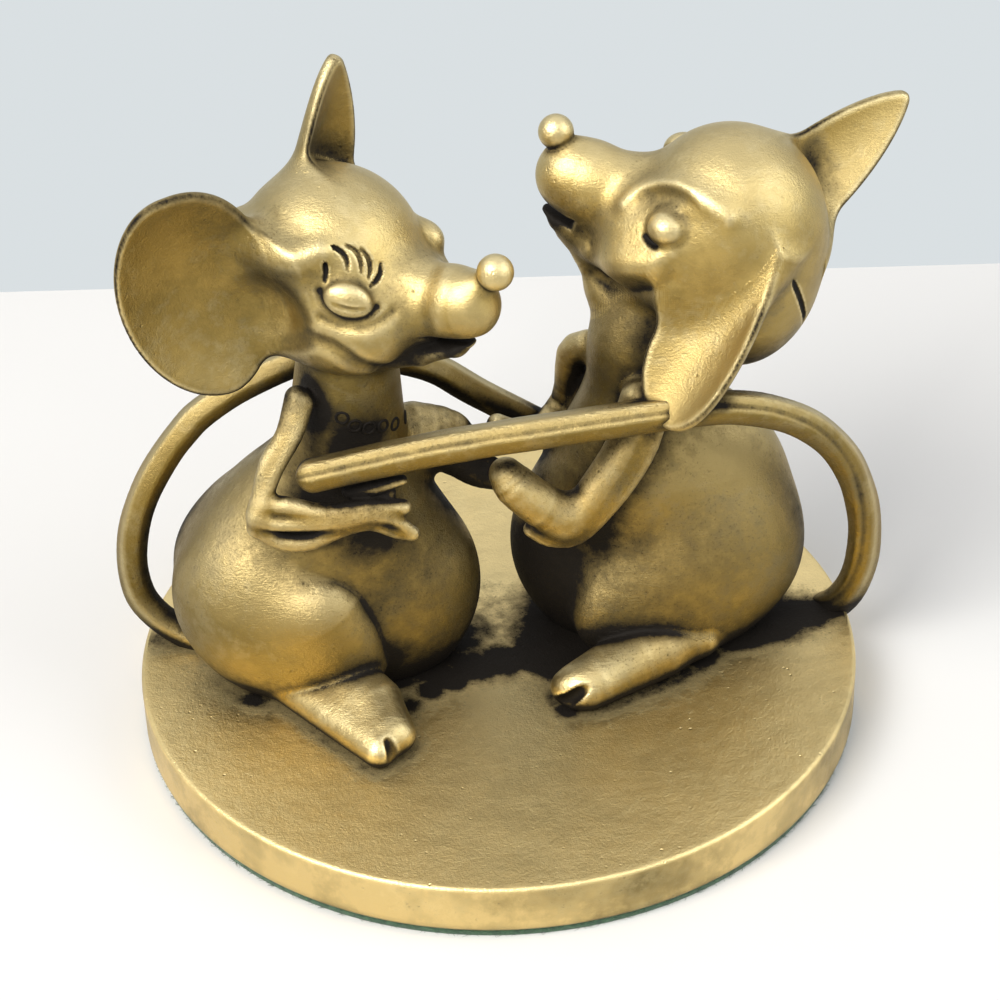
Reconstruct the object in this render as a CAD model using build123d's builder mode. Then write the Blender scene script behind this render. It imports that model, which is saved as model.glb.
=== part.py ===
"""Two cast metal mice on a round base, face to face, each with its tail as a bar across the other.

The figure stands on a felt disc. X runs to the right, Y away from the viewer and Z up.
The origin is the middle of the felt's underside. Sizes are in millimetres.
Each mouse is a body, a head, two ears, two arms, two feet and a tail, soldered face to face.
The castings are skinned with flat facets from one many-sided ring to the next, which keeps them
within about a tenth of a millimetre of the round form with few faces.
"""
import os
from collections import namedtuple
from math import cos, pi, radians, sin, tan

from build123d import *

os.makedirs("parts", exist_ok=True)

# The base and its felt
base_diameter = 70.0
base_thickness = 5.0
base_edge_break = 0.35
felt_thickness = 0.8
felt_inset = 0.35

# Each body: from rump to belly, side to side, and from the base to the top of the neck
body_length = 28.0
body_width = 17.0
body_height = 36.0
neck_width = 9.6

# The haunch on each side, a flattened teardrop
haunch_height = 17.6
haunch_width = 10.0

# The head, from the back of the skull to the upper lip
head_length = 26.6
head_width = 17.0
head_height = 18.0
eye_length = 4.8
eye_height = 3.4
eye_depth = 3.0
nose_diameter = 3.3
jaw_width = 6.4
jaw_thickness = 3.0

# The ears
ear_thickness = 1.3
ear_cup_radius = 13.5
ear_cup_depth = 3.6
round_ear_width = 15.0
left_pointed_ear_width = 7.8
right_pointed_ear_width = 8.0
hanging_ear_width = 11.4

# The limbs and the tails
arm_width = 3.6
arm_thickness = 3.0
foot_width = 5.6
foot_height = 3.8
toe_diameter = 2.9
toe_count = 3
tail_width = 3.2

# Sides of the rings that the castings are lofted through
body_sides = 24
head_sides = 20
limb_sides = 12
bead_sides = 10
tail_sides = 6
# How far a facet's fourth corner may lie off its plane, as a share of its side
flatness_share = 0.00000001

# The seat is the top of the base, where the mice stand
seat = felt_thickness + base_thickness

# A mouse's place as shares of the base's diameter, the way it faces and how its head is held
Mouse = namedtuple("Mouse", "name x_share y_share facing head_turn head_tilt head_shares")
left = Mouse("left", -0.229, 0.007, 1, 33, 10.5, (0.09, -0.06, 1.22))
right = Mouse("right", 0.221, 0.08, -1, 15, 19, (-0.24, -0.094, 1.256))
mice = (left, right)


def spot(mouse, shares):
    """A place on a mouse: forward, to the far side and up, as shares of its body's sizes."""
    forward, far, up = shares
    return Vector(
        mouse.x_share * base_diameter + mouse.facing * forward * body_length,
        mouse.y_share * base_diameter + far * body_width,
        seat + up * body_height,
    )


def head_frame(mouse):
    """The head's own plane: x runs along the muzzle and z out of the crown."""
    side = Vector(0, 1, 0).rotate(Axis.Z, -mouse.head_turn)
    level = Vector(mouse.facing, 0, 0).rotate(Axis.Z, -mouse.head_turn)
    ahead = level.rotate(Axis((0, 0, 0), side), -mouse.facing * mouse.head_tilt)
    crown = ahead.cross(side) * mouse.facing
    return Plane(origin=spot(mouse, mouse.head_shares), x_dir=ahead, z_dir=crown)


def head_spot(mouse, shares):
    """A place on a head: forward, to the far side and up, as shares of the head's sizes."""
    forward, far, up = shares
    local = Vector(forward * head_length, mouse.facing * far * head_width, up * head_height)
    return head_frame(mouse).from_local_coords(local)


def ring(plane, half_wide, half_high, sides):
    """The corners of a many-sided oval on a plane."""
    turns = [2 * pi * number / sides for number in range(sides)]
    return [plane.from_local_coords(Vector(half_wide * cos(turn), half_high * sin(turn))) for turn in turns]


def facet(*corners):
    """One flat face."""
    return Face(Wire.make_polygon(corners))


def skin(rings):
    """A solid with flat facets from ring to ring and a flat cap at each end."""
    faces = [facet(*rings[0]), facet(*rings[-1])]
    for lower, upper in zip(rings, rings[1:]):
        for one, two, three, four in zip(lower, lower[1:] + lower[:1], upper[1:] + upper[:1], upper):
            tilt = (two - one).cross(three - one).normalized().dot(four - one)
            if abs(tilt) < flatness_share * (two - one).length:
                faces.append(facet(one, two, three, four))
            else:
                faces += [facet(one, two, three), facet(one, three, four)]
    return Solid(Shell(faces))


# Body sections: up, forward, and half of the length and width
torso_shares = (
    (0.00, -0.03, 0.40),
    (0.10, 0.00, 0.465),
    (0.22, 0.02, 0.485),
    (0.36, 0.035, 0.455),
    (0.50, 0.05, 0.385),
    (0.64, 0.07, 0.295),
    (0.78, 0.09, 0.19),
)
# Neck sections: up, forward, far, and half of the neck's width
neck_shares = {
    "left": ((0.58, 0.09, 0.0, 0.50), (0.78, 0.10, -0.02, 0.56), (0.90, 0.12, -0.04, 0.49), (1.04, 0.12, -0.05, 0.50)),
    "right": ((0.58, 0.09, 0.0, 0.46), (0.78, 0.08, -0.01, 0.49), (0.90, 0.06, -0.03, 0.42), (1.06, -0.03, -0.06, 0.50)),
}
# Haunch sections from rump to knee: forward, out, up, and half of the width and height
haunch_shares = (
    (-0.50, 0.20, 0.24, 0.14),
    (-0.44, 0.24, 0.24, 0.335),
    (-0.33, 0.27, 0.24, 0.46),
    (-0.18, 0.305, 0.225, 0.485),
    (-0.03, 0.34, 0.18, 0.41),
    (0.10, 0.39, 0.125, 0.30),
    (0.19, 0.42, 0.09, 0.18),
    (0.22, 0.43, 0.08, 0.08),
)


def make_body(mouse):
    """The torso with its neck and both haunches, flat where it stands on the base."""
    with BuildPart() as body:
        rings = []
        for up, forward, half in torso_shares:
            level = Plane(spot(mouse, (forward, 0, up)))
            rings.append(ring(level, half * body_length, half * body_width, body_sides))
        add(skin(rings))
        rings = []
        for up, forward, far, half in neck_shares[mouse.name]:
            level = Plane(spot(mouse, (forward, far, up)))
            rings.append(ring(level, half * neck_width, half * neck_width, body_sides))
        add(skin(rings))
        for side in (-1, 1):
            rings = []
            for forward, out, up, half in haunch_shares:
                middle = spot(mouse, (forward, side * out, up))
                upright = Plane(origin=middle, x_dir=(0, 1, 0), z_dir=(mouse.facing, 0, 0))
                rings.append(ring(upright, half * haunch_width, half * haunch_height, head_sides))
            add(skin(rings))
        split(bisect_by=Plane.XY.offset(seat), keep=Keep.TOP)
    return body


# Head sections from the back of the skull: forward, up, and half of the width and height
skull_shares = (
    (-0.310, 0.03, 0.10),
    (-0.285, 0.03, 0.22),
    (-0.220, 0.025, 0.37),
    (-0.130, 0.01, 0.455),
    (-0.010, -0.01, 0.495),
    (0.110, -0.05, 0.482),
    (0.210, -0.095, 0.395),
    (0.310, -0.135, 0.29),
    (0.415, -0.145, 0.217),
    (0.525, -0.135, 0.19),
    (0.595, -0.12, 0.147),
    (0.630, -0.115, 0.072),
)
# Jaw sections: forward, up, and half of the width and thickness
jaw_shares = (
    (0.15, -0.38, 0.52),
    (0.33, -0.37, 0.38),
    (0.50, -0.335, 0.20),
)
# Rings round a bead, as angles from its middle
bead_angles = (-64, -34, 0, 34, 64)
# The nape of the head that is held up: its middle, and its size as shares of the head's
nape_middle, nape_size = (-0.128, 0.035, -0.29), (0.436, 0.80, 0.89)
eye_shares = (0.235, 0.37, 0.03)
nose_shares = (0.654, 0.0, 0.05)


def bead(middle, plane, length, wide, high):
    """A rounded bead along a plane's x."""
    rings = []
    for angle in bead_angles:
        share = cos(radians(angle)) / 2
        centre = middle + plane.x_dir * sin(radians(angle)) * length / 2
        square = Plane(origin=centre, x_dir=plane.y_dir, z_dir=plane.x_dir)
        rings.append(ring(square, share * wide, share * high, bead_sides))
    return skin(rings)


def make_head(mouse):
    """The skull and muzzle with the lower jaw, both eyes and the nose ball."""
    frame = head_frame(mouse)

    def section(forward, up, half_wide, half_high):
        middle = head_spot(mouse, (forward, 0, up))
        square = Plane(origin=middle, x_dir=frame.y_dir, z_dir=frame.x_dir)
        return ring(square, half_wide, half_high, head_sides)

    with BuildPart() as head:
        add(skin([section(ahead, up, half * head_width, half * head_height) for ahead, up, half in skull_shares]))
        add(skin([section(ahead, up, half * jaw_width, half * jaw_thickness) for ahead, up, half in jaw_shares]))
        forward, out, up = eye_shares
        for side in (-1, 1):
            add(bead(head_spot(mouse, (forward, side * out, up)), frame, eye_length, eye_depth, eye_height))
        add(bead(head_spot(mouse, nose_shares), frame, nose_diameter, nose_diameter, nose_diameter))
        if mouse is right:
            long, wide, high = nape_size
            add(bead(head_spot(mouse, nape_middle), frame, long * head_length, wide * head_width, high * head_height))
    return head


# Rings of the round ear's dish from its rim to its back: depth, and half of the width and length
dish_shares = ((0.0, 0.50), (0.30, 0.455), (0.62, 0.36), (0.87, 0.22), (1.0, 0.07))
# Outline of a pointed ear from one root corner over the tip to the other: out and up
leaf_shares = ((-0.66, 0.0), (-1.0, 0.36), (-0.62, 0.78), (0.0, 1.0), (0.62, 0.78), (1.0, 0.36), (0.66, 0.0))
# Outline of the hanging ear, which is narrow where it leaves the cheek
drop_shares = ((-0.36, 0.0), (-0.80, 0.18), (-1.0, 0.46), (-0.76, 0.78), (0.0, 1.0), (0.76, 0.78), (1.0, 0.46), (0.80, 0.18), (0.36, 0.0))
# Ends of each ear in shares of the head's sizes, the way its hollow looks, its width and form
Ear = namedtuple("Ear", "root tip looks width form")
ears = {
    "left_near": Ear((-0.36, -0.455, -0.405), (-0.12, -0.675, 0.795), (0.12, -0.90, 0.40), round_ear_width, "dish"),
    "left_far": Ear((-0.135, 0.18, 0.36), (-0.015, 0.38, 0.95), (0.85, -0.5, 0.15), left_pointed_ear_width, "leaf"),
    "right_near": Ear((-0.09, -0.34, 0.10), (-0.12, -0.76, -0.83), (-0.73, -0.68, 0), hanging_ear_width, "drop"),
    "right_far": Ear((-0.16, 0.36, 0.0), (-0.42, 0.83, 0.60), (0.2, -0.85, 0.4), right_pointed_ear_width, "leaf"),
}


def make_ear(mouse, ear):
    """A thin cupped ear: a dish of oval rings, or a leaf outline cut out of a round shell."""
    root, tip = head_spot(mouse, ear.root), head_spot(mouse, ear.tip)
    length = (tip - root).length
    along = (tip - root).normalized()
    looks = Vector(ear.looks)
    looks = (looks - along * looks.dot(along)).normalized()
    across = along.cross(looks)
    outer = ear_cup_radius + ear_thickness / 2
    inner = ear_cup_radius - ear_thickness / 2
    with BuildPart() as blade:
        if ear.form == "dish":
            for lift, mode in ((0, Mode.ADD), (ear_thickness, Mode.SUBTRACT)):
                rings = []
                for depth, half in dish_shares:
                    middle = (root + tip) / 2 + looks * (lift + ear_cup_depth * (1 - depth))
                    flat = Plane(origin=middle, x_dir=across, z_dir=looks)
                    rings.append(ring(flat, half * ear.width, half * length, body_sides))
                add(skin(rings), mode=mode)
        else:
            with BuildSketch(Plane(origin=root, x_dir=across, z_dir=looks)):
                with BuildLine():
                    outline = drop_shares if ear.form == "drop" else leaf_shares
                    corners = [(out * ear.width / 2, up * length) for out, up in outline]
                    Spline(*corners)
                    Line(corners[-1], corners[0])
                make_face()
            extrude(amount=ear.width / 2, both=True)
            with Locations(Plane(origin=root + looks * ear_cup_radius, x_dir=across, z_dir=along)):
                Cylinder(outer, 3 * length, mode=Mode.INTERSECT)
                Cylinder(inner, 3 * length, mode=Mode.SUBTRACT)
    return blade


# Arm sections from shoulder to fingertips: forward, far, up, half width and half thickness
arms = {
    "left_near": (
        (0.02, -0.20, 0.90, 0.60, 0.60), (-0.09, -0.40, 0.76, 0.52, 0.56), (-0.175, -0.55, 0.635, 0.50, 0.52),
        (-0.175, -0.58, 0.588, 0.52, 0.52), (-0.11, -0.60, 0.574, 0.50, 0.50), (0.05, -0.60, 0.592, 0.52, 0.42),
        (0.18, -0.575, 0.59, 0.58, 0.36), (0.26, -0.55, 0.575, 0.42, 0.26), (0.305, -0.53, 0.56, 0.16, 0.12),
    ),
    "left_far": (
        (0.14, 0.10, 0.71, 0.80, 0.80), (0.31, 0.24, 0.655, 0.78, 0.78), (0.41, 0.29, 0.60, 0.60, 0.60),
        (0.48, 0.22, 0.555, 0.48, 0.46), (0.54, 0.13, 0.535, 0.46, 0.40), (0.58, 0.08, 0.525, 0.20, 0.18),
    ),
    "right_near": (
        (-0.04, -0.22, 0.86, 0.64, 0.64), (0.08, -0.42, 0.70, 0.56, 0.56), (0.22, -0.56, 0.53, 0.52, 0.52),
        (0.275, -0.60, 0.49, 0.56, 0.54), (0.335, -0.61, 0.50, 0.60, 0.54), (0.44, -0.60, 0.59, 0.66, 0.52),
        (0.50, -0.59, 0.68, 0.56, 0.46), (0.52, -0.59, 0.78, 0.44, 0.36), (0.52, -0.61, 0.85, 0.20, 0.18),
    ),
    "right_far": (
        (0.02, 0.16, 0.84, 0.60, 0.60), (0.19, 0.24, 0.79, 0.54, 0.54), (0.235, 0.27, 0.735, 0.52, 0.52),
        (0.25, 0.28, 0.62, 0.48, 0.48), (0.32, 0.24, 0.53, 0.46, 0.46), (0.42, 0.12, 0.50, 0.46, 0.44),
        (0.51, 0.0, 0.51, 0.44, 0.40), (0.55, -0.06, 0.53, 0.20, 0.18),
    ),
}


def make_arm(mouse, sections):
    """An arm with its hand, from ring to ring round the elbow."""
    middles = [spot(mouse, section[:3]) for section in sections]
    rings = []
    for number, (middle, section) in enumerate(zip(middles, sections)):
        before, after = middles[max(number - 1, 0)], middles[min(number + 1, len(middles) - 1)]
        ahead = (after - before).normalized()
        across = ahead.cross(Vector(0, 1, 0)).normalized()
        square = Plane(origin=middle, x_dir=across, z_dir=ahead)
        rings.append(ring(square, section[3] * arm_width, section[4] * arm_thickness, limb_sides))
    return skin(rings)


# Heel and toes of each foot: forward, far and up
feet = {
    "left_near": ((-0.16, -0.49, 0.0), (0.205, -0.98, 0.0)),
    "left_far": ((-0.16, 0.49, 0.0), (0.205, 0.98, 0.0)),
    "right_near": ((-0.21, -0.41, 0.0), (0.27, -0.82, 0.0)),
    "right_far": ((-0.21, 0.41, 0.0), (0.27, 0.82, 0.0)),
}
# Foot sections from heel to toes: along, height of the middle, and half of the width and height
foot_shares = (
    (0.00, 0.34, 0.24),
    (0.12, 0.42, 0.42),
    (0.45, 0.44, 0.44),
    (0.80, 0.38, 0.49),
    (1.0, 0.32, 0.38),
)
toe_lift_share = 0.44


def make_foot(mouse, heel, toe):
    """A long foot, spread at the toes and flat underneath."""
    start, end = spot(mouse, heel), spot(mouse, toe)
    ahead = (end - start).normalized()
    across = ahead.cross(Vector(0, 0, 1))
    rings = []
    for along, up, half in foot_shares:
        middle = start + (end - start) * along + Vector(0, 0, up * foot_height)
        square = Plane(origin=middle, x_dir=across, z_dir=ahead)
        rings.append(ring(square, half * foot_width, half * foot_height, limb_sides))
    with BuildPart() as foot:
        add(skin(rings))
        for number in range(toe_count):
            place = number / (toe_count - 1) - 0.5
            middle = end + across * place * (foot_width - toe_diameter) + Vector(0, 0, toe_lift_share * toe_diameter)
            square = Plane(origin=middle, x_dir=ahead, z_dir=(0, 0, 1))
            add(bead(middle, square, toe_diameter, toe_diameter, toe_diameter))
        split(bisect_by=Plane.XY.offset(seat), keep=Keep.TOP)
    return foot


# The tails' routes from the rump: forward, far and up
tails = {
    "left": (
        (-0.375, -0.065, 0.056), (-0.482, -0.018, 0.054), (-0.600, 0.120, 0.066), (-0.690, 0.155, 0.150),
        (-0.705, 0.159, 0.283), (-0.654, 0.18, 0.417), (-0.553, 0.24, 0.556), (-0.397, 0.30, 0.69),
        (-0.208, 0.36, 0.783), (0.05, 0.418, 0.828), (0.343, 0.465, 0.767), (0.90, 0.594, 0.45),
    ),
    "right": (
        (-0.375, -0.024, 0.056), (-0.468, -0.10, 0.054), (-0.571, -0.218, 0.054), (-0.680, -0.276, 0.108),
        (-0.725, -0.30, 0.25), (-0.700, -0.33, 0.40), (-0.60, -0.435, 0.628), (-0.43, -0.53, 0.778),
        (-0.225, -0.635, 0.844), (1.218, -0.90, 0.75),
    ),
}
bend_share = 0.45
tip_rounding_share = 0.22


def make_tail(mouse, places):
    """A six-sided rod, bent from the rump over the back into a straight bar with a rounded end."""
    points = [spot(mouse, place) for place in places]
    runs = [after - before for before, after in zip(points, points[1:])]
    radii = []
    for before, after in zip(runs, runs[1:]):
        half_turn = radians(before.get_angle(after)) / 2
        radii.append(bend_share * min(before.length, after.length) / tan(half_turn))
    with BuildPart() as tail:
        with BuildLine() as rod:
            FilletPolyline(*points, radius=radii)
        with BuildSketch(Plane(origin=rod.line @ 0, z_dir=rod.line % 0)):
            RegularPolygon(tail_width / 2, tail_sides)
        sweep()
        end_face = tail.faces().sort_by_distance(rod.line @ 1)[0]
        chamfer(end_face.edges(), tip_rounding_share * tail_width)
    return tail


def fitted(piece, *larger):
    """The piece cut away where larger ones stand, so that they meet face to face."""
    with BuildPart() as cut:
        add(piece)
        for other in larger:
            add(other, mode=Mode.SUBTRACT)
    return Part([cut.part.solids().sort_by(SortBy.VOLUME)[-1]])


with BuildPart() as base:
    with BuildSketch(Plane.XY.offset(felt_thickness)):
        Circle(base_diameter / 2)
    extrude(amount=base_thickness)
    chamfer(base.edges().group_by(Axis.Z)[-1], base_edge_break)

with BuildPart() as felt_pad:
    with BuildSketch():
        Circle(base_diameter / 2 - felt_inset)
    extrude(amount=felt_thickness)

bodies = [make_body(mouse).part for mouse in mice]
parts = {"base": base.part, "felt_pad": felt_pad.part}
raw_tails = {mouse.name: make_tail(mouse, tails[mouse.name]).part for mouse in mice}
for mouse, body in zip(mice, bodies):
    name = mouse.name
    parts[f"{name}_body"] = body
    head = parts[f"{name}_head"] = fitted(make_head(mouse).part, body)
    parts[f"{name}_tail"] = fitted(raw_tails[name], *bodies)
    for side in ("near", "far"):
        key = f"{name}_{side}"
        parts[f"{key}_ear"] = fitted(make_ear(mouse, ears[key]).part, head, body, *raw_tails.values())
        parts[f"{key}_foot"] = fitted(make_foot(mouse, *feet[key]).part, body)
        parts[f"{key}_arm"] = fitted(make_arm(mouse, arms[key]), *bodies, head, *raw_tails.values())

parts["right_far_arm"] = fitted(parts["right_far_arm"], parts["left_far_arm"])

for name, part in parts.items():
    part.label = name
    export_step(part, f"parts/{name}.step")
    print(name, part.is_valid, round(part.volume, 1), len(part.solids()), len(part.faces()))
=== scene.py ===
# %% [markdown]
# Two cast metal mice on a round base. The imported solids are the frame: they fix every size and place.
# The small castings are sculpted here as fields, numbers that say how far a point is from the metal.
# A field can be rounded, carved and soldered to another field, which is how wax models for casting are built up.

import math
from concurrent.futures import ThreadPoolExecutor

import bpy
import numpy as np
from mathutils import Matrix, Vector


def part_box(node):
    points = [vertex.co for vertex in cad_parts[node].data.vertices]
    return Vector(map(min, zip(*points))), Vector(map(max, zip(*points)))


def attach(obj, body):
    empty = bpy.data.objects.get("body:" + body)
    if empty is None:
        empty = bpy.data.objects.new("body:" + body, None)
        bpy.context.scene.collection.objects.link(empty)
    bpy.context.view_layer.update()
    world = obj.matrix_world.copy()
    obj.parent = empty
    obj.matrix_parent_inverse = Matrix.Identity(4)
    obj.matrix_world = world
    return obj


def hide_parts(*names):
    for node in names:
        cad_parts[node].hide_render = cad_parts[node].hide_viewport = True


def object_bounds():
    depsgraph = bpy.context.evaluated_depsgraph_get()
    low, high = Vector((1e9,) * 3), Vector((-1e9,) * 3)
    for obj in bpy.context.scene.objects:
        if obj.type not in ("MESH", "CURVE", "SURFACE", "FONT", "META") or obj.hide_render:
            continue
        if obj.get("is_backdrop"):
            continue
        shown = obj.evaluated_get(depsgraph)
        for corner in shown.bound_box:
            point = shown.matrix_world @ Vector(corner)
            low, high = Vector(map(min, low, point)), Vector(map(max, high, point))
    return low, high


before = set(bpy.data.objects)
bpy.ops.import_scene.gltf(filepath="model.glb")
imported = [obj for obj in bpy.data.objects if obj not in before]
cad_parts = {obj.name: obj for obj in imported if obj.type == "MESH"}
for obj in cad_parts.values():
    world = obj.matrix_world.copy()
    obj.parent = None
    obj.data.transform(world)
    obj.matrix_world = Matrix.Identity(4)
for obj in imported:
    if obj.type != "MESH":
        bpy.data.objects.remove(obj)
cad_box = [list(corner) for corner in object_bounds()]
TO_MM, TO_METRES = 1000, 0.001
FELT_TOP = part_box("felt_pad")[1].z * TO_MM
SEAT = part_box("base")[1].z * TO_MM
print(len(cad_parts), "nodes; base top at", round(SEAT, 2), "mm")

# %% [markdown]
# The camera comes first, because small features such as eyelashes are placed by sighting along its rays.
# Its lens, height and slight roll were fitted to the round rim of the base, which is a known circle.
# Sculpting is done in millimetres above the base's top, where a jeweller would measure.

# %% Camera numbers and rays
LENS, SENSOR, PICTURE = 100.0, 36.0, 1000.0
FOCAL_PIXELS = LENS / SENSOR * PICTURE
AIM = np.array([0.600, 0.0, 17.303])
ELEVATION, DISTANCE, ROLL = math.radians(35.64), 263.19, -0.028809
ahead = np.array([0.0, math.cos(ELEVATION), -math.sin(ELEVATION)])
level_right = np.array([1.0, 0, 0])
level_up = np.array([0.0, math.sin(ELEVATION), math.cos(ELEVATION)])
cam_right = math.cos(ROLL) * level_right + math.sin(ROLL) * level_up
cam_up = -math.sin(ROLL) * level_right + math.cos(ROLL) * level_up
EYE = AIM - DISTANCE * ahead


def unit(v):
    v = np.asarray(v, float)
    return v / np.linalg.norm(v)


def ray(px, py):
    """The direction in which a pixel looks."""
    middle = PICTURE / 2
    return unit(ahead + cam_right * (px - middle) / FOCAL_PIXELS - cam_up * (py - middle) / FOCAL_PIXELS)


def at_depth(px, py, y):
    """The point that a pixel sees at a given depth y."""
    d = ray(px, py)
    return EYE + d * (y - EYE[1]) / d[1]


def at_height(px, py, z):
    """The point on a pixel's sight line at a height above the base's top."""
    d = ray(px, py)
    return EYE + d * ((z - EYE[2]) / d[2])


# %% Place the camera
camera = bpy.data.objects.new("camera", bpy.data.cameras.new("camera"))
bpy.context.collection.objects.link(camera)
camera.data.lens, camera.data.sensor_width, camera.data.clip_start = LENS, SENSOR, 0.005
seat_shift = np.array([0.0, 0.0, SEAT])
turn = Matrix([[cam_right[i], cam_up[i], -ahead[i]] for i in range(3)]).to_4x4()
camera.matrix_world = Matrix.Translation(Vector((EYE + seat_shift) * TO_METRES)) @ turn
bpy.context.scene.camera = camera
print("camera", [round(v, 1) for v in EYE + seat_shift], "mm")

# %% [markdown]
# The toolbox of fields: balls, tapered rods and chains of rods.
# A soft join makes fillets and a soft cut makes hollows.
# Polygon modelling would need hundreds of hand-placed points for one small face.
# Fields need only the forms a sculptor thinks in.

# %% Soft joins and simple forms
def blend(a, b, k):
    """Joins two forms with a fillet about as wide as k."""
    h = np.maximum(k - np.abs(a - b), 0.0) / k
    return np.minimum(a, b) - h * h * k * 0.25


def carve(a, b, k):
    """Cuts form b out of form a and leaves a soft edge."""
    return -blend(-a, b, k)


def turned(p, centre, axes):
    return (p - centre.astype(p.dtype)) @ axes.astype(p.dtype)


def mirrored(p, middle_y):
    """The same points on the other side of the upright plane at middle_y."""
    q = p.copy()
    q[..., 1] = 2 * middle_y - q[..., 1]
    return q


def ball(p, centre, radius):
    q = p - np.asarray(centre, p.dtype)
    return np.sqrt((q * q).sum(-1)) - radius


def ellipsoid(p, centre, radii, axes=None):
    q = p - np.asarray(centre, p.dtype)
    if axes is not None:
        q = q @ axes.astype(p.dtype)
    r = np.asarray(radii, p.dtype)
    near = np.sqrt(((q / r) ** 2).sum(-1))
    far = np.sqrt(((q / (r * r)) ** 2).sum(-1))
    return near * (near - 1.0) / np.maximum(far, 1e-9)


def cone(p, a, b, ra, rb):
    """A rod from a to b with round ends and two radii."""
    a, b = np.asarray(a, p.dtype), np.asarray(b, p.dtype)
    run = b - a
    q = p - a
    t = np.clip((q @ run) / (run @ run), 0, 1)
    w = q - t[..., None] * run
    return np.sqrt((w * w).sum(-1)) - (float(ra) + float(rb - ra) * t)


def melt(forms, k):
    """Joins a row of forms one after another, softly if k is more than 0."""
    d = None
    for e in forms:
        d = e if d is None else (blend(d, e, k) if k else np.minimum(d, e))
    return d


def chain(p, points, radii, k=0.0):
    return melt((cone(p, *rod_ends) for rod_ends in zip(points, points[1:], radii, radii[1:])), k)


def strands(p, rods, k):
    """Rods side by side, melted into one ribbed ribbon."""
    return melt((chain(p, path, radii) for path, radii in rods), k)


def smooth_path(points, each=3):
    """A smooth run through all the points, with so many steps between each two."""
    pts = np.asarray(points, float)
    pts = np.vstack([2 * pts[0] - pts[1], pts, 2 * pts[-1] - pts[-2]])
    out = []
    for a, b, c, d in zip(pts, pts[1:], pts[2:], pts[3:]):
        for t in np.arange(each) / each:
            out.append(0.5 * (
                2 * b + (c - a) * t + (2 * a - 5 * b + 4 * c - d) * t * t + (3 * b - a - 3 * c + d) * t ** 3
            ))
    return np.array(out + [pts[-2]])


# %% Strokes that are drawn on a form along sight lines
SIGHT_START, SIGHT_END = 225.0, 310


def onto(field, px, py):
    """The point where a pixel's sight line meets a surface, or where it passes closest."""
    d = ray(px, py)
    t, best, least = SIGHT_START, None, math.inf
    while t < SIGHT_END:
        point = EYE + t * d
        gap = float(field(point[None])[0])
        if gap < least - 1e-4:
            best, least = point, gap
        if gap < 0.01:
            break
        t += max(0.8 * gap, 0.02)
    return best


def drawn(field, pixels, off=0.0):
    """A smooth line on a surface, or a little in front of it, through pixels of the photograph's frame."""
    line = np.array([onto(field, *px) - off * ray(*px) for px in smooth_path(pixels, 8)])
    for _ in range(12):
        line[1:-1] = (line[:-2] + 2 * line[1:-1] + line[2:]) / 4
    return line


def stroke(d, p, path, width, k, lift, raised=False, taper=0.35):
    """Cuts a groove, or raises a fold, along a path on the surface. It thins towards its ends."""
    room = width + k + 0.6
    near = ((p > path.min(0) - room) & (p < path.max(0) + room)).all(-1)
    if not near.any():
        return d
    n = len(path) - 1
    line = chain(p[near], path, [width * (1 - (1 - taper) * abs(2 * i / n - 1) ** 2) for i in range(n + 1)])
    d = d.copy()
    d[near] = (blend if raised else carve)(d[near], line + lift, k)
    return d


def strokes(d, p, marks, **how):
    """Draws several strokes. Each is a path, a width, a softness and a lift."""
    for mark in marks:
        d = stroke(d, p, *mark, **how)
    return d


# %% [markdown]
# The heads. Each is a skull, two cheeks and a tapering muzzle with a nose ball on a short stalk and a thin lower lip.
# They are written along the head's own axes, forward, far side and up, and then turned into place.

# %% The heads' places
def head_axes(facing, turn, tilt):
    t, f = np.radians(turn), np.radians(tilt)
    level = np.array([facing * np.cos(t), -facing * np.sin(t), 0.0])
    side = np.array([np.sin(t), np.cos(t), 0.0])
    up = np.array([0.0, 0, 1])
    return np.stack([level * np.cos(f) + up * np.sin(f), side, -level * np.sin(f) + up * np.cos(f)], 1)


LEFT_HEAD, LEFT_AXES = np.array([-13.5, -0.5, 43.9]), head_axes(1, 33, 10.5)
RIGHT_HEAD, RIGHT_AXES = np.array([22.2, 4.0, 45.2]), head_axes(-1, 15, 19)


def on_left(forward, side, up):
    return LEFT_HEAD + LEFT_AXES @ np.array([forward, side, up], float)


def on_right(forward, side, up):
    return RIGHT_HEAD + RIGHT_AXES @ np.array([forward, side, up], float)


# %% Ears: a round dish, and pointed leaves
def ear_axes(root, tip, looks):
    """An ear's directions across, along and outward, and its length."""
    along = unit(tip - root)
    out = unit(np.asarray(looks, float) - np.dot(looks, along) * along)
    return np.stack([np.cross(along, out), along, out], 1), float(np.linalg.norm(tip - root))


def dish(p, root, tip, looks, half_wide, thick, cup):
    """A shallow round cup between two rim points. It sinks on the side where it meets the head."""
    root, tip = np.asarray(root, float), np.asarray(tip, float)
    axes, tall = ear_axes(root, tip, looks)
    q = turned(p, (root + tip) / 2 + axes[:, 2] * (cup * 0.5 + thick / 2), axes)
    small = min(half_wide, tall / 2)
    w, y, z = q[..., 0] / half_wide, q[..., 1] / (tall / 2), q[..., 2]
    rho = np.sqrt(w ** 2 + y ** 2)
    bowl = cup * np.minimum(rho, 1.3) ** 2 - cup * 0.5 - cup * 0.95 * np.clip(w, 0, 1) ** 1.5
    steep = np.sqrt(1 + (1.6 * cup * rho / small) ** 2)
    rolled_rim = np.clip(rho - 0.75, 0, 1) * np.exp(-((rho - 0.97) / 0.07) ** 2)
    body = thick * (1 + rolled_rim)
    return carve((np.abs(z - bowl) - body / 2) / steep, -(rho - 1) * small / steep, thick * 0.7)


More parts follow.
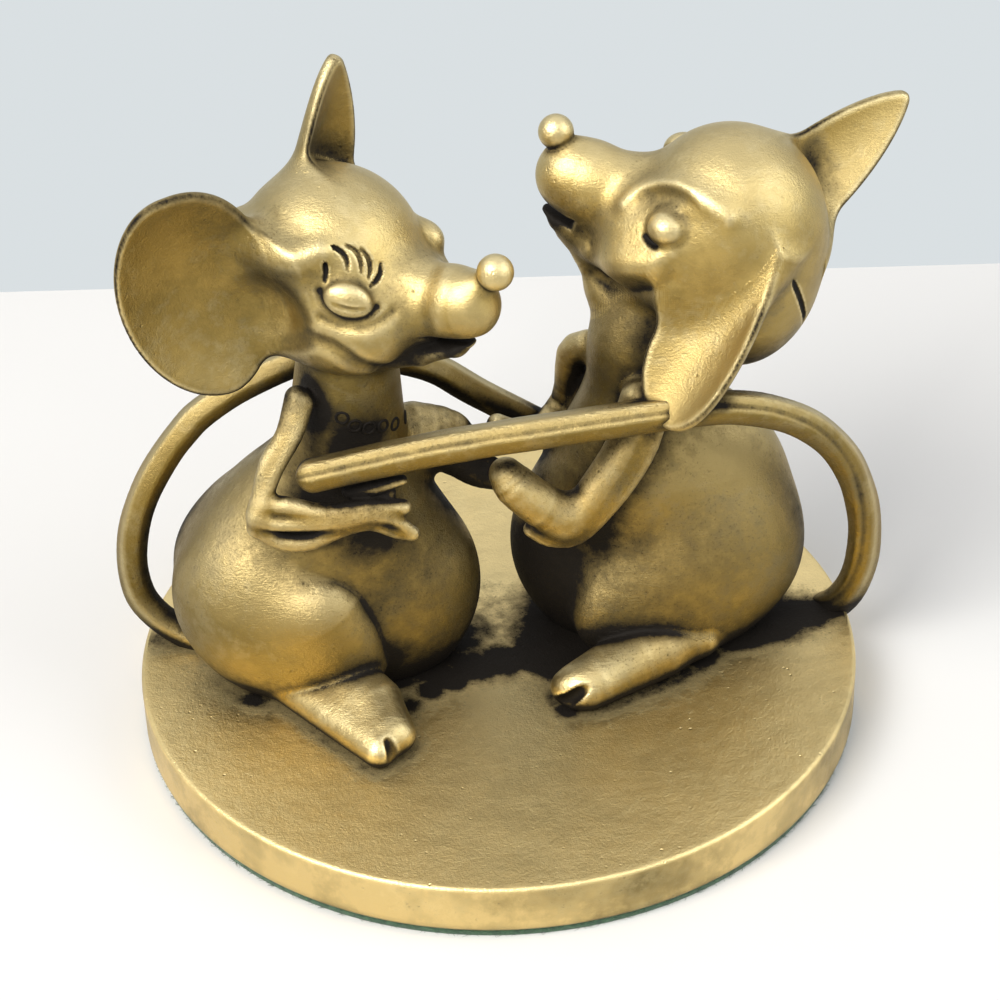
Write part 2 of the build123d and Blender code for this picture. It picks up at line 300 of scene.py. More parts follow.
def leaf(p, root, tip, looks, half_wide, thick, cup, root_share, fill, point=0.8):
    """A cupped leaf. root_share is its width at the root, fill its belly, and point how slowly it narrows."""
    axes, long = ear_axes(root, tip, looks)
    q = turned(p, root, axes)
    x, t, z = q[..., 0], q[..., 1] / long, q[..., 2]
    tc = np.clip(t, 0, 1)
    outline = root_share * (1 - tc) ** 2 + fill * tc * (1 - tc) ** point * (1 - root_share * 0.3)
    bowl = cup * (x / half_wide) ** 2 - cup * 0.5
    steep = np.sqrt(1 + (2 * cup * x / half_wide ** 2) ** 2)
    sheet = (np.abs(z - bowl) - thick / 2) / steep
    d = carve(sheet, -(np.abs(x) - (half_wide * outline + 0.3)) * 0.8, thick * 0.6)
    return carve(d, -np.maximum(-t, t - 1) * long, 0.5)


# %% Heads: the plain forms
SOFT_BROW = 2.4


def muzzle_and_jaw(d, q, slot_back, jaw_on, jaw_up, girth, longer):
    """Adds the muzzle, nose and jaw to a skull, and cuts the mouth's slot back to slot_back."""
    slim = q * np.array([1.0, 1.06, 1.0], q.dtype)
    spine = [(4.5, 0, -2.6), (9, 0, -2.4), (12.6 + longer, 0, -2.3), (13.9 + longer, 0, -2.3)]
    d = blend(d, chain(slim, spine, [4.7, 4.1 * girth, 3.75 * girth, 3.6 * girth], 0.6), SOFT_BROW)
    d = blend(d, cone(q, (15.0, 0, -0.9), (16.6, 0, 0.4), 1.7, 1.0), 0.8)
    d = blend(d, ball(q, (17.5, 0, 1.15), 1.62), 0.3)
    shift = np.array([jaw_on, 0, jaw_up])
    lip = [(4.0, 0, -8.0)] + [np.array(c) + shift for c in ((9.0, 0, -8.5), (12.8, 0, -7.9), (14.0, 0, -7.2))]
    wide = q * np.array([1.0, 0.55, 1.0], q.dtype)
    d = blend(d, chain(wide, lip, [1.6, 1.2, 0.65, 0.5], 0.5), 0.8)
    height = np.abs(q[..., 2] + 6.55 - jaw_up + 0.05 * (q[..., 0] - 13)) - 0.55
    slot = np.maximum(np.maximum(slot_back - q[..., 0], height), np.abs(q[..., 1]) - 3.6)
    return carve(d, slot, 0.35)


def left_head_plain(p):
    q = turned(p, LEFT_HEAD, LEFT_AXES)
    d = ellipsoid(q, (-0.4, 0, 0.6), (8.7, 8.4, 8.7))
    for s in (-1, 1):
        d = blend(d, ellipsoid(q, (3.0, s * 3.9, -3.4), (6.2, 4.1, 4.8)), 2.4)
    return muzzle_and_jaw(d, q, 10.2, -0.8, 1.1, 0.87, -0.2)


def right_head_plain(p):
    q = turned(p, RIGHT_HEAD, RIGHT_AXES)
    d = ellipsoid(q, (0.1, 0, 0.2), (8.4, 8.3, 8.2))
    d = blend(d, ellipsoid(q, (-4.2, 0.6, -5.8), (5.9, 6.8, 8.6)), 3.0)
    d = blend(d, cone(q, (12.4, 0, -6.9), (6.5, 0, -7.0), 1.9, 3.5), 1.6)
    throat = [(13.4, 0, -8.2), (10.3, 0, -9.3), (7.2, 0, -11.6), (4.0, 0, -13.5)]
    d = blend(d, chain(q, throat, [0.7, 1.7, 2.9, 4.0], 0.8), 1.6)
    for s in (-1, 1):
        d = blend(d, ellipsoid(q, (3.4, s * 4.0, -3.8), (6.6, 4.1, 5.2)), 2.4)
    return muzzle_and_jaw(d, q, 13.0, 1.8, 0.7, 1.0, 0.6)


# %% [markdown]
# The faces are drawn on those forms like a graver's cuts.
# Each stroke follows the photograph's sight lines until it meets the brass.
# A stroke can sink as a groove, such as an eyelash, or rise as a fold, such as a brow.

# %% Left face: eye, lashes, brow fold and creases
L = left_head_plain
eye_left_end, eye_right_end, eye_mid = onto(L, 323, 292), onto(L, 374, 308), onto(L, 348, 300)
eye_long = unit(eye_right_end - eye_left_end)
eye_out = unit(np.cross(eye_long, np.cross(-ray(348, 300), eye_long)) * 0.6 - LEFT_AXES[:, 1] * 0.6)
eye_out = unit(eye_out - eye_long * (eye_out @ eye_long))
EYE_AXES = np.stack([eye_long, eye_out, np.cross(eye_long, eye_out)], 1)
left_folds = [
    (drawn(L, [(236, 214), (250, 238), (266, 251), (285, 259), (303, 258), (318, 252)]), 1.0, 2.2, 0.15),
]
left_creases = [
    (drawn(L, [(262, 352), (300, 339), (330, 346), (350, 360), (365, 368), (390, 366), (415, 361)]), 0.5, 1.8, 0.55),
    (drawn(L, [(430, 264), (419, 283), (412, 302), (414, 320), (421, 334)], off=1.2), 1.2, 2.0, 0.7),
    (drawn(L, [(322, 318), (345, 328), (372, 326), (392, 312)]), 0.3, 1.6, 0.65),
    (drawn(L, [(328, 300), (340, 304), (354, 307), (368, 306)]) + eye_out * 0.8, 0.14, 0.3, 0.0),
]
left_lashes = [(drawn(L, pixels), 0.22, 0.12, 0.0) for pixels in (
    [(313, 247), (321, 256), (326, 268), (325, 281)],
    [(331, 246), (341, 251), (347, 260), (348, 270)],
    [(346, 245), (356, 251), (361, 261), (362, 272)],
    [(361, 249), (368, 257), (371, 268), (369, 278)],
    [(381, 264), (381, 272), (377, 280), (371, 286)],
)]
left_rims = [(drawn(L, [(320, 291), (329, 309), (348, 320), (366, 318), (377, 307)]), 0.2, 0.8, 0.2)]
print("left face:", len(left_lashes), "lashes; eye at", np.round(eye_mid, 1))


def left_head_own(p):
    d = left_head_plain(p)
    q = turned(p, LEFT_HEAD, LEFT_AXES)
    d = carve(d, ellipsoid(q, (-4.2, -9.2, -1.0), (6.4, 3.4, 4.2)), 1.8)
    d = strokes(d, p, left_folds, raised=True)
    d = blend(d, ellipsoid(q, (5.2, 5.7, 0.3), (2.7, 1.9, 2.0)), 0.8)
    d = strokes(d, p, left_rims, taper=0.7)
    d = blend(d, ellipsoid(p, eye_mid, (2.05, 0.9, 1.45), EYE_AXES), 0.7)
    d = strokes(d, p, left_creases)
    return strokes(d, p, left_lashes, taper=0.6)


# %% Right face: eye dome, brow ring, cheek and the seam behind the ear
R = right_head_plain
right_eye = onto(R, 668, 228)
right_eye_out = unit(-ray(668, 228) * 0.7 - RIGHT_AXES[:, 1] * 0.5)
right_folds = [
    (drawn(R, [(626, 203), (638, 192), (655, 187), (685, 191), (712, 205), (728, 218)]), 0.7, 2.8, 0.9),
    (drawn(R, [(592, 252), (606, 261), (628, 266), (652, 262), (670, 252)]), 1.0, 2.8, 0.7),
]
right_creases = [
    (drawn(R, [(646, 236), (655, 243), (668, 245), (679, 240)]), 0.35, 0.6, 0.05),
    (drawn(R, [(630, 206), (642, 197), (660, 194), (680, 199), (694, 214)], off=1.2), 1.0, 0.8, 0.15),
    (drawn(R, [(590, 274), (610, 288), (640, 292), (672, 280)]), 0.5, 3.2, 1.75),
    (drawn(R, [(776, 258), (790, 276), (801, 300), (805, 328), (799, 342)]), 0.14, 0.12, -0.1),
]
print("right face: eye at", np.round(right_eye, 1))


def right_head_own(p):
    d = right_head_plain(p)
    d = strokes(d, p, right_folds, raised=True)
    d = strokes(d, p, right_creases)
    d = blend(d, ellipsoid(turned(p, RIGHT_HEAD, RIGHT_AXES), (5.9, 6.2, 0.6), (2.2, 1.8, 1.9)), 0.5)
    return blend(d, ellipsoid(p, right_eye - right_eye_out * 0.35, (1.85, 1.85, 1.55)), 0.6)


# %% [markdown]
# The bodies are pear forms with a neck, and a flattened haunch on each side that runs into a long foot.

# %% Bodies
LEFT_MIDDLE, RIGHT_MIDDLE = 0.5, 5.6


def thigh(d, p, middle, along, size, span, soft, middle_y, knee=None):
    """A big flat thigh on both sides. It melts into the back and stands crisp of the belly."""
    along = unit(along)
    out = unit(np.array([0.0, -1, 0]) + along * along[1])
    axes = np.stack([along, out, np.cross(along, out)], 1)
    for q in (p, mirrored(p, middle_y)):
        t = np.clip((q[..., 0] - span[0]) / (span[1] - span[0]), 0, 1)
        k = (soft[0] + (soft[1] - soft[0]) * t * t * (3 - 2 * t)).astype(p.dtype)
        e = ellipsoid(q, middle, size, axes)
        if knee is not None:
            e = blend(e, cone(q, *knee), 2.5)
        d = blend(d, e, k)
    return d


LEFT_THIGH, RIGHT_THIGH = at_depth(277, 620, -5.0), at_depth(676, 583, 0.7)
LEFT_KNEE = (at_depth(322, 606, -6.6), at_depth(362, 659, -6.6), 3.9, 2.3)


def left_body_plain(p):
    d = ellipsoid(p, (-15.2, 0.5, 8.0), (13.7, 8.6, 13.2))
    d = blend(d, ellipsoid(p, (-18.9, 1.2, 11.2), (9.3, 7.9, 10.8)), 4)
    d = blend(d, cone(p, (-13.8, 0.3, 20), (-12.8, -0.6, 36.5), 6.2, 4.4), 6)
    along, size = (0.87, -0.30, -0.34), (10.2, 5.1, 8.0)
    return thigh(d, p, LEFT_THIGH, along, size, (-27.0, -14.5), (4.5, 0.2), LEFT_MIDDLE, LEFT_KNEE)


def right_body_plain(p):
    d = ellipsoid(p, (14.8, 5.6, 8.6), (13.3, 8.4, 13.0))
    d = blend(d, ellipsoid(p, (18.6, 5.6, 13.2), (10.2, 7.7, 12.4)), 4)
    d = blend(d, cone(p, (13.6, 5.4, 20), (14.0, 4.6, 32), 6.2, 4.1), 6)
    d = blend(d, cone(p, (14.0, 4.6, 32), (18.0, 4.4, 40), 4.1, 4.8), 3)
    along, size = (-0.86, -0.40, -0.16), (10.9, 4.6, 7.2)
    return thigh(d, p, RIGHT_THIGH, along, size, (21.0, 12.0), (6.0, 3.0), RIGHT_MIDDLE)


# %% Where the necklace's rings sit, and the seam of the neck
BEAD_PIXELS = [(342, 418), (355, 426), (369, 428), (383, 426), (395, 424), (405, 417)]
BEADS = [onto(left_body_plain, *px) for px in BEAD_PIXELS]
neck_seam = drawn(left_body_plain, [(292, 392), (294, 408), (292, 424), (287, 436)])
print("necklace:", len(BEADS), "ring beads")

# %% Feet: wedges that come out from under the thighs, with a cut between the toes
def sight_rods(rods):
    """Rods from rows of pixel x, pixel y, height and radius."""
    return [([at_height(*c[:3]) for c in rod], [c[3] for c in rod]) for rod in rods]


LEFT_FOOT = sight_rods([
    [(276, 678, 1.6, 1.7), (330, 716, 1.6, 1.7), (379, 751, 1.5, 1.6)],
    [(320, 680, 2.3, 2.2), (358, 706, 2.3, 2.1), (386, 731, 2.0, 1.8)],
    [(350, 676, 2.9, 2.4), (380, 700, 2.7, 2.1), (400, 735, 1.6, 1.4)],
])
LEFT_NOTCH = [at_height(388, 742, 2.9), at_height(397, 764, 1.0)]
RIGHT_FOOT = sight_rods([
    [(714, 632, 1.5, 1.3), (650, 664, 1.5, 1.5), (590, 692, 1.5, 1.55)],
    [(700, 636, 2.6, 1.8), (640, 652, 2.9, 2.2), (606, 664, 2.6, 2.0), (567, 687, 1.6, 1.5)],
    [(660, 652, 2.4, 2.0), (600, 678, 2.2, 1.9), (580, 686, 1.9, 1.7)],
])
RIGHT_NOTCH = [at_height(593, 684, 3.9), at_height(562, 704, 0.9)]


def foot(p, rods, notch):
    return carve(strands(p, rods, 1.8), cone(p, *notch, 0.3, 0.75), 0.4)


# %% [markdown]
# The tails are long bars that cross in front of the chests. Each is laid through points seen in the photograph.

# %% Tails: pixel x, pixel y and depth
LEFT_TAIL = smooth_path([at_depth(*c) for c in [
    (208, 642, 1.2), (182, 631, 2.0), (159, 616, 2.5), (142, 597, 2.9), (134, 574, 3.1), (132, 548, 3.3),
    (136, 519, 3.6), (147, 488, 4.0), (163, 459, 4.5), (182, 433, 5.0), (205, 410, 5.6), (259, 377, 6.6),
    (335, 352, 7.6), (422, 364, 8.4), (475, 391, 9.0), (530, 419, 9.8), (590, 446, 10.6),
]])
RIGHT_TAIL = smooth_path([at_depth(*c) for c in [
    (776, 590, 9.2), (795, 603, 7.6), (815, 608, 6.2), (834, 603, 5.1), (849, 589, 4.3), (859, 568, 3.7),
    (864, 543, 3.1), (864, 515, 2.4), (858, 487, 1.4), (847, 462, 0.2), (830, 441, -1.0), (808, 425, -2.2),
    (780, 414, -3.4), (745, 408, -4.6), (700, 409, -5.5), (600, 423, -6.4), (440, 448, -8.0), (296, 479, -9.6),
]])


def tail(p, path, radius):
    """A plain round tail, which its neighbours are soldered to."""
    return chain(p, path[::2], [radius] * len(path))


# %% [markdown]
# The arms are thin and flat, bent at the elbow, with the hands laid along the bars.

# %% Arms: rods through rows of pixel x, pixel y and depth, with radii spread along them
def rod(places, radii):
    path = smooth_path([at_depth(*c) for c in places])
    return path, np.interp(np.linspace(0, 1, len(path)), np.linspace(0, 1, len(radii)), radii)


LEFT_RIBBON = [
    rod([(297, 398, -5.0), (286, 433, -6.6), (268, 463, -7.9), (259, 503, -9.2), (258, 518, -9.6)],
        [1.15, 0.85, 0.8, 0.9]),
    rod([(304, 404, -5.2), (294, 437, -7.0), (276, 470, -8.4), (264, 502, -9.5), (260, 514, -9.8)],
        [0.9, 0.7, 0.65, 0.7]),
    rod([(262, 506, -9.3), (285, 506, -9.6), (327, 514, -9.6), (367, 508, -9.4), (403, 507, -8.8)],
        [0.95, 0.9, 0.9, 0.75]),
    rod([(256, 517, -9.8), (273, 523, -10.2), (300, 524, -10.2), (337, 523, -10.1), (367, 517, -9.9),
         (393, 519, -9.5), (412, 532, -9.0)], [0.8, 0.7, 0.65, 0.6, 0.55]),
    rod([(257, 528, -9.5), (285, 541, -9.8), (313, 540, -9.8), (340, 529, -9.7), (370, 523, -9.5),
         (396, 532, -9.1), (413, 535, -8.8)], [0.95, 0.95, 0.8, 0.65, 0.5]),
]
LEFT_FINGERS = [
    rod([(348, 492, -8.2), (375, 487, -8.5), (402, 480, -8.2)], [0.6, 0.75, 0.5]),
    rod([(360, 500, -8.0), (390, 492, -8.2)], [0.5, 0.55]),
]
RIGHT_RIBBON = [
    rod([(662, 400, -1.2), (650, 445, -3.2), (629, 482, -4.3), (603, 513, -5.1), (577, 536, -5.4),
         (550, 538, -5.2), (532, 529, -4.8)], [0.9, 0.8, 0.8, 0.85, 0.8]),
    rod([(640, 400, -1.5), (624, 446, -3.2), (604, 478, -4.2), (584, 506, -4.9), (562, 518, -5.2)],
        [1.9, 1.75, 1.7, 1.8, 1.9]),
    rod([(566, 516, -5.2), (541, 505, -5.5), (516, 486, -5.3), (506, 474, -5.0)], [1.9, 2.1, 2.0, 1.6]),
]
LEFT_REACH = [
    rod([(414, 438, 3.0), (444, 440, 3.4), (463, 456, 3.0), (478, 468, 2.4), (494, 474, 1.8)],
        [3.5, 3.0, 2.2, 1.8, 1.5]),
]
RIGHT_REACH = [
    rod([(588, 345, 8.0), (572, 354, 9.2), (566, 400, 10.6), (532, 434, 7.5), (512, 430, 5.0), (497, 424, 4.0)],
        [1.5, 1.5, 1.5, 1.3, 1.1, 1.0]),
]

# %% Where the dark wash was left standing, and where painted shade lies in shadowed places: pixel x, pixel y, depth, reach and strength
WASH_AND_SHADE = [(at_depth(*spot[:3]), *spot[3:]) for spot in [
    (472, 590, 2.5, 5.5, 1.15), (458, 670, 1.5, 4.5, 1.0), (372, 548, -8.2, 3.2, 0.85), (322, 412, -4.8, 1.8, 0.7),
    (355, 492, -6.5, 4.0, 1.0), (415, 590, -5.5, 8.0, 0.4), (425, 650, -4.0, 6.0, 0.5), (360, 440, -5.0, 5.0, 0.08),
    (400, 405, -3.5, 3.0, 0.05), (268, 285, -7.5, 4.0, 0.25), (394, 645, -6.0, 3.4, 0.55), (378, 600, -7.0, 3.2, 0.45),
    (255, 692, -7.8, 1.3, 0.8), (300, 696, -7.5, 1.3, 0.9), (340, 695, -7.2, 1.3, 0.9), (374, 690, -7.0, 1.3, 0.9),
    (545, 580, 2.0, 6.5, 1.3), (548, 550, 0.5, 4.5, 1.1), (553, 630, -0.5, 5.5, 1.3), (590, 540, -3.5, 3.2, 0.9),
    (560, 462, -2.5, 4.0, 0.55), (775, 622, 3.0, 3.5, 0.9), (582, 335, 0.5, 4.5, 0.4), (575, 380, 0.5, 4.5, 0.35),
    (650, 605, -2.0, 8.0, 0.5), (700, 560, -2.0, 6.0, 0.35), (640, 540, -1.5, 3.5, 0.45), (470, 465, 1.0, 4.5, 0.9),
    (690, 460, -4.0, 4.0, 0.3), (810, 165, 9.0, 2.4, 0.7), (300, 340, -6.5, 3.0, 0.25), (640, 655, -3.0, 2.2, 0.7),
]]
# Dark wash and painted shade in the mouth slots.
MOUTH_WASH_AND_SHADE = [(on_left(12.4, -1.2, -5.2), 1.3, 1.2), (on_right(15.4, -1.0, -5.8), 1.5, 1.2)]
# Dark wash and painted contact shadow on the base around the feet.
FLOOR_WASH_AND_SHADOW = [(at_height(x, y, 0), reach, strength) for x, y, reach, strength in [
    (412, 704, 1.4, 0.8), (432, 692, 1.7, 1.1), (454, 680, 2.0, 1.3), (478, 669, 2.5, 1.4), (505, 661, 2.8, 1.5),
    (532, 656, 3.0, 1.5), (548, 664, 2.6, 1.4), (745, 632, 2.8, 1.4), (775, 622, 3.2, 1.5), (805, 615, 2.8, 1.4),
    (828, 611, 1.6, 1.0), (700, 656, 1.5, 0.9), (566, 712, 1.0, 0.6),
]]


def washed_and_shaded(points, more=()):
    """How much dark wash and painted shade each point gets: the strongest of the spots near it."""
    total = np.zeros(len(points))
    for place, reach, strength in (*WASH_AND_SHADE, *MOUTH_WASH_AND_SHADE, *more):
        total = np.maximum(total, strength * np.exp(-((points - place) ** 2).sum(1) / reach ** 2))
    return total


# %% [markdown]
# Each casting is its own piece, but the solder between two castings leaves a fillet and no gap.
# So a piece takes a soft union with its neighbours and is cut half way to them, with a hair of overlap.

# %% Every casting's form, and which casting is soldered to which
PIECES = {
    "left_head": left_head_own,
    "left_near_ear": lambda p: dish(
        p, (-23.8, -2.6, 35.0), (-28.0, -7.0, 57.2), (0.12, -0.90, 0.40), 6.9, 1.3, 3.2),
    "left_far_ear": lambda p: leaf(
        p, on_left(-3.4, 3.3, 5.6), on_left(0.9, 6.9, 16.7), (0.85, -0.52, 0.12), 4.8, 1.4, 2.8, 0.85, 2.2),
    "left_body": lambda p: stroke(left_body_plain(p), p, neck_seam, 0.16, 0.15, -0.05),
    "left_near_foot": lambda p: foot(p, LEFT_FOOT, LEFT_NOTCH),
    "left_far_foot": lambda p: foot(mirrored(p, LEFT_MIDDLE), LEFT_FOOT, LEFT_NOTCH),
    "left_tail": lambda p: tail(p, LEFT_TAIL, 1.5),
    "left_near_arm": lambda p: blend(strands(p, LEFT_RIBBON, 0.7), strands(p, LEFT_FINGERS, 0.3), 0.5),
    "left_far_arm": lambda p: strands(p, LEFT_REACH, 0.5),
    "right_head": right_head_own,
    "right_near_ear": lambda p: leaf(
        p, on_right(-3.5, -5.6, 1.6), on_right(-0.9, -12.9, -15.4), (-0.72, -0.69, 0), 4.8, 1.6, 2.2, 0.35, 2.6, 0.55),
    "right_far_ear": lambda p: leaf(
        p, on_right(-2.6, 3.0, -1.0), on_right(-11.2, 14.1, 10.8), (0.2, -0.85, 0.4), 5.4, 1.4, 2.4, 0.75, 2.0),
    "right_body": right_body_plain,
    "right_near_foot": lambda p: foot(p, RIGHT_FOOT, RIGHT_NOTCH),
    "right_far_foot": lambda p: foot(mirrored(p, RIGHT_MIDDLE), RIGHT_FOOT, RIGHT_NOTCH),
    "right_tail": lambda p: tail(p, RIGHT_TAIL, 1.55),
    "right_near_arm": lambda p: strands(p, RIGHT_RIBBON, 1.2),
    "right_far_arm": lambda p: strands(p, RIGHT_REACH, 0.5),
}
JOINS = [(f"{side}_{one}", f"{side}_{other}", fillet) for side, one, others in [
    ("left", "head", {"body": 1.4, "near_ear": 2.6, "far_ear": 1.8}),
    ("left", "body", {"near_arm": 0.9, "far_arm": 1.5, "near_foot": 0.45, "far_foot": 0.45, "tail": 1.2}),
    ("right", "head", {"body": 1.4, "near_ear": 2.6, "far_ear": 2.8}),
    ("right", "body", {"near_arm": 1.2, "far_arm": 1.2, "near_foot": 0.45, "far_foot": 0.45, "tail": 1.0}),
] for other, fillet in others.items()]
OVERLAP, NEIGHBOUR_REACH = 0.4, 4.0
print(len(PIECES), "castings,", len(JOINS), "soldered joins")


def piece_box(name, grow=0.0):
    low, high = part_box(name)
    return np.array(low) * TO_MM - seat_shift - grow, np.array(high) * TO_MM - seat_shift + grow


def nearby(name, p):
    """A piece's field where it matters, and a plain reach elsewhere, which saves most of the work."""
    low, high = piece_box(name, NEIGHBOUR_REACH + 2)
    near = ((p > low) & (p < high)).all(-1)
    out = np.full(p.shape[:-1], NEIGHBOUR_REACH, p.dtype)
    if near.any():
        out[near] = np.minimum(PIECES[name](p[near]), NEIGHBOUR_REACH)
    return out


def skin(name):
    """The piece's own form, filleted into its neighbours and cut where they begin, and the distance from that cut."""
    joins = [(a if b == name else b, k) for a, b, k in JOINS if name in (a, b)]

    def field(p):
        own = PIECES[name](p)
        whole, rest = own, None
        for other, k in joins:
            e = nearby(other, p)
            whole = blend(whole, e, k)
            rest = e if rest is None else np.minimum(rest, e)
        return np.maximum(np.maximum(whole, (own - rest) / 2 - OVERLAP), -p[..., 2])

    def away(p):
        """How far a point is from where the neighbours begin, in mm."""
        rest = np.full(len(p), NEIGHBOUR_REACH)
        for other, _ in joins:
            rest = np.minimum(rest, nearby(other, p))
        return OVERLAP - (PIECES[name](p) - rest) / 2

    return field, away


# %% [markdown]
# A field becomes a mesh with surface nets.
# The space is diced into small cells and every cell that the surface crosses gets one point.
# Only blocks near the surface are looked at closely, so a fine grid costs little.
# The points are then slid onto the surface.

# %% Field to mesh
CELL = np.array([[i, j, k] for i in (0, 1) for j in (0, 1) for k in (0, 1)])
CELL_EDGES = [(a, b) for a in CELL for b in CELL if (b - a).min() >= 0 and (b - a).sum() == 1]
BLOCK, BATCH = 4, 3000


def slopes(field, points, h):
    f = field(points)
    return f, np.stack([field(points + h * e) - f for e in np.eye(3)], -1) / h


def sampled(field, low, high, step):
    """The field's values at the grid's corners near the surface. The rest stays unknown."""
    n = np.ceil((high - low) / (step * BLOCK)).astype(int)
    axes = [low[i] + step * BLOCK * np.arange(n[i] + 1) for i in range(3)]
    coarse = field(np.stack(np.meshgrid(*axes, indexing="ij"), -1).astype(np.float32))
    near, close = np.abs(coarse) < step * BLOCK * 1.35, np.zeros(n, bool)
    for i, j, k in CELL:
        close |= near[i : n[0] + i, j : n[1] + j, k : n[2] + k]
    values = np.full(n * BLOCK + 1, np.nan, np.float32)
    offsets = np.stack(np.meshgrid(*[np.arange(BLOCK + 1)] * 3, indexing="ij"), -1).reshape(-1, 3)
    blocks = np.argwhere(close)
    for s in range(0, len(blocks), BATCH):
        at = (blocks[s : s + BATCH, None] * BLOCK + offsets).reshape(-1, 3)
        values[tuple(at.T)] = field((low + at * step).astype(np.float32))
    return values


def surface(field, low, high, step):
    """Points, quads and normals of the surface."""
    values = sampled(field, low, high, step)
    inside, known = values < 0, ~np.isnan(values)
    cells = np.array(values.shape) - 1
    count, full = np.zeros(cells, np.int8), np.ones(cells, bool)
    for i, j, k in CELL:
        part = (slice(i, i + cells[0]), slice(j, j + cells[1]), slice(k, k + cells[2]))
        count += inside[part]
        full &= known[part]
    active = (count > 0) & (count < len(CELL)) & full
    at = np.argwhere(active)
    ids = np.full(cells, -1, np.int64)
    ids[active] = np.arange(len(at))
    total, weight = np.zeros((len(at), 3)), np.zeros(len(at))
    for a, b in CELL_EDGES:
        fa, fb = values[tuple((at + a).T)], values[tuple((at + b).T)]
        cross = (fa < 0) != (fb < 0)
        t = np.where(cross, fa / np.where(cross, fa - fb, 1), 0)
        total += np.where(cross[:, None], a + t[:, None] * (b - a), 0)
        weight += cross
    points = low + (at + total / weight[:, None]) * step
    quads = []
    for d in range(3):
        u, v = (d + 1) % 3, (d + 2) % 3
        first, second = [slice(None)] * 3, [slice(None)] * 3
        first[d], second[d] = slice(0, -1), slice(1, None)
        first, second = tuple(first), tuple(second)
        e = np.argwhere((inside[first] != inside[second]) & known[first] & known[second])
        e = e[(e[:, u] > 0) & (e[:, v] > 0) & (e[:, u] < cells[u]) & (e[:, v] < cells[v])]
        corners = []
        for du, dv in ((1, 1), (0, 1), (0, 0), (1, 0)):
            c = e.copy()
            c[:, u] -= du
            c[:, v] -= dv
            corners.append(ids[tuple(c.T)])
        q = np.stack(corners, 1)
        flip = ~inside[first][tuple(e.T)]
        q[flip] = q[flip][:, ::-1]
        quads.append(q[(q >= 0).all(1)])
    for _ in range(2):
        f, g = slopes(field, points, step * 0.05)
        move = -f[:, None] * g / np.maximum((g * g).sum(-1), 0.2)[:, None]
        far = np.linalg.norm(move, axis=1)
        points = points + move * np.minimum(1, step * 0.6 / np.maximum(far, 1e-12))[:, None]
    g = slopes(field, points, step * 0.3)[1]
    return points, np.concatenate(quads), g / np.maximum(np.linalg.norm(g, axis=1), 1e-12)[:, None]


# %% [markdown]
# Old brass is dark where a polishing cloth can't reach, and bright on ridges. Both are measured on the form itself.
# Probes pushed out of the skin find how closed in each point is, and the skin's bend finds the ridges. Faces that
# point down get painted shade as well.
# The results are stored on the mesh as three attributes, which the materials read: hollows with painted shade, ridges,
# and dark wash with painted shade.

# %% Probes for hollows, and the bend of the skin
PROBES, FLOOR_PROBES, SHARPEST = (0.5, 1.1, 2.2, 4.2), (0.4, 0.8, 1.5, 3.0), 2.0


def hollow_and_shade_at(points, normals, reach=PROBES, floor=True, skip=""):
    """0 in the open, 1 where the metal is closed in on all sides. Faces that point down get a little painted shade."""
    closed = np.zeros(len(points))
    for s in reach:
        probe = points + normals * s
        gap = np.minimum(probe[:, 2], s) if floor else np.full(len(points), s)
        for name, own in PIECES.items():
            if name == skip:
                continue
            low, high = piece_box(name, s + 2)
            near = ((probe > low) & (probe < high)).all(1)
            if near.any():
                gap[near] = np.minimum(gap[near], own(probe[near]))
        closed += np.clip((s - gap) / s, 0, 1.2) / len(reach)
    # Faces that point down get painted shade on top of the patina.
    return np.clip(closed * 1.6 + 0.45 * np.clip(-normals[:, 2], 0, 1), 0, 1)


def ridge_at(points, quads, normals):
    """The bend of the skin in 1/mm, positive on ridges, evened out over a few neighbours."""
    edges = np.concatenate([quads[:, [i, (i + 1) % 4]] for i in range(4)])
    a, b = edges[:, 0], edges[:, 1]
    run = points[b] - points[a]
    bend = ((normals[b] - normals[a]) * run).sum(1) / np.maximum((run * run).sum(1), 1e-9)
    bend = np.clip(bend, -SHARPEST, SHARPEST)
    for _ in range(3):
        total, count = np.zeros(len(points)), np.zeros(len(points))
        for i in (a, b):
            np.add.at(total, i, bend)
            np.add.at(count, i, 1)
        evened = total / np.maximum(count, 1)
        bend = (evened[a] + evened[b]) / 2
    return evened


# %% Mesh objects with their attributes
def make_object(name, points, faces, node, finish_slot, **marks):
    """points in mm above the base's top; marks are per-point numbers."""
    mesh = bpy.data.meshes.new(name)
    faces = np.asarray(faces)
    sides = faces.shape[1]
    mesh.vertices.add(len(points))
    mesh.vertices.foreach_set("co", ((points + seat_shift) * TO_METRES).astype(np.float32).ravel())
    mesh.loops.add(faces.size)
    mesh.loops.foreach_set("vertex_index", faces.ravel().astype(np.int32))
    mesh.polygons.add(len(faces))
    mesh.polygons.foreach_set("loop_start", np.arange(0, faces.size, sides, dtype=np.int32))
    mesh.polygons.foreach_set("use_smooth", np.ones(len(faces), bool))
    mesh.update(calc_edges=True)
    mesh.validate()
    for key, value in marks.items():
        mesh.attributes.new(key, "FLOAT", "POINT").data.foreach_set("value", np.asarray(value, np.float32))
    piece = bpy.data.objects.new(name, mesh)
    bpy.context.collection.objects.link(piece)
    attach(piece, "root")
    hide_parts(node)
    print(name, len(faces), "faces", np.round(points.min(0), 1), np.round(points.max(0), 1))
    return piece


# %% [markdown]
# Every casting gets its mesh now. The heads carry the finest detail, so they get the smallest cells.
# A right head with still smaller cells would pass 200,000 triangles.

# %% Build the castings
FINE = {"head": 0.165, "ear": 0.2, "arm": 0.2, "foot": 0.22, "body": 0.23}
QUICK_CELLS, LOWEST = 1.7, 0.05
room_low, room_high = [np.array(corner) * TO_MM - seat_shift for corner in cad_box]


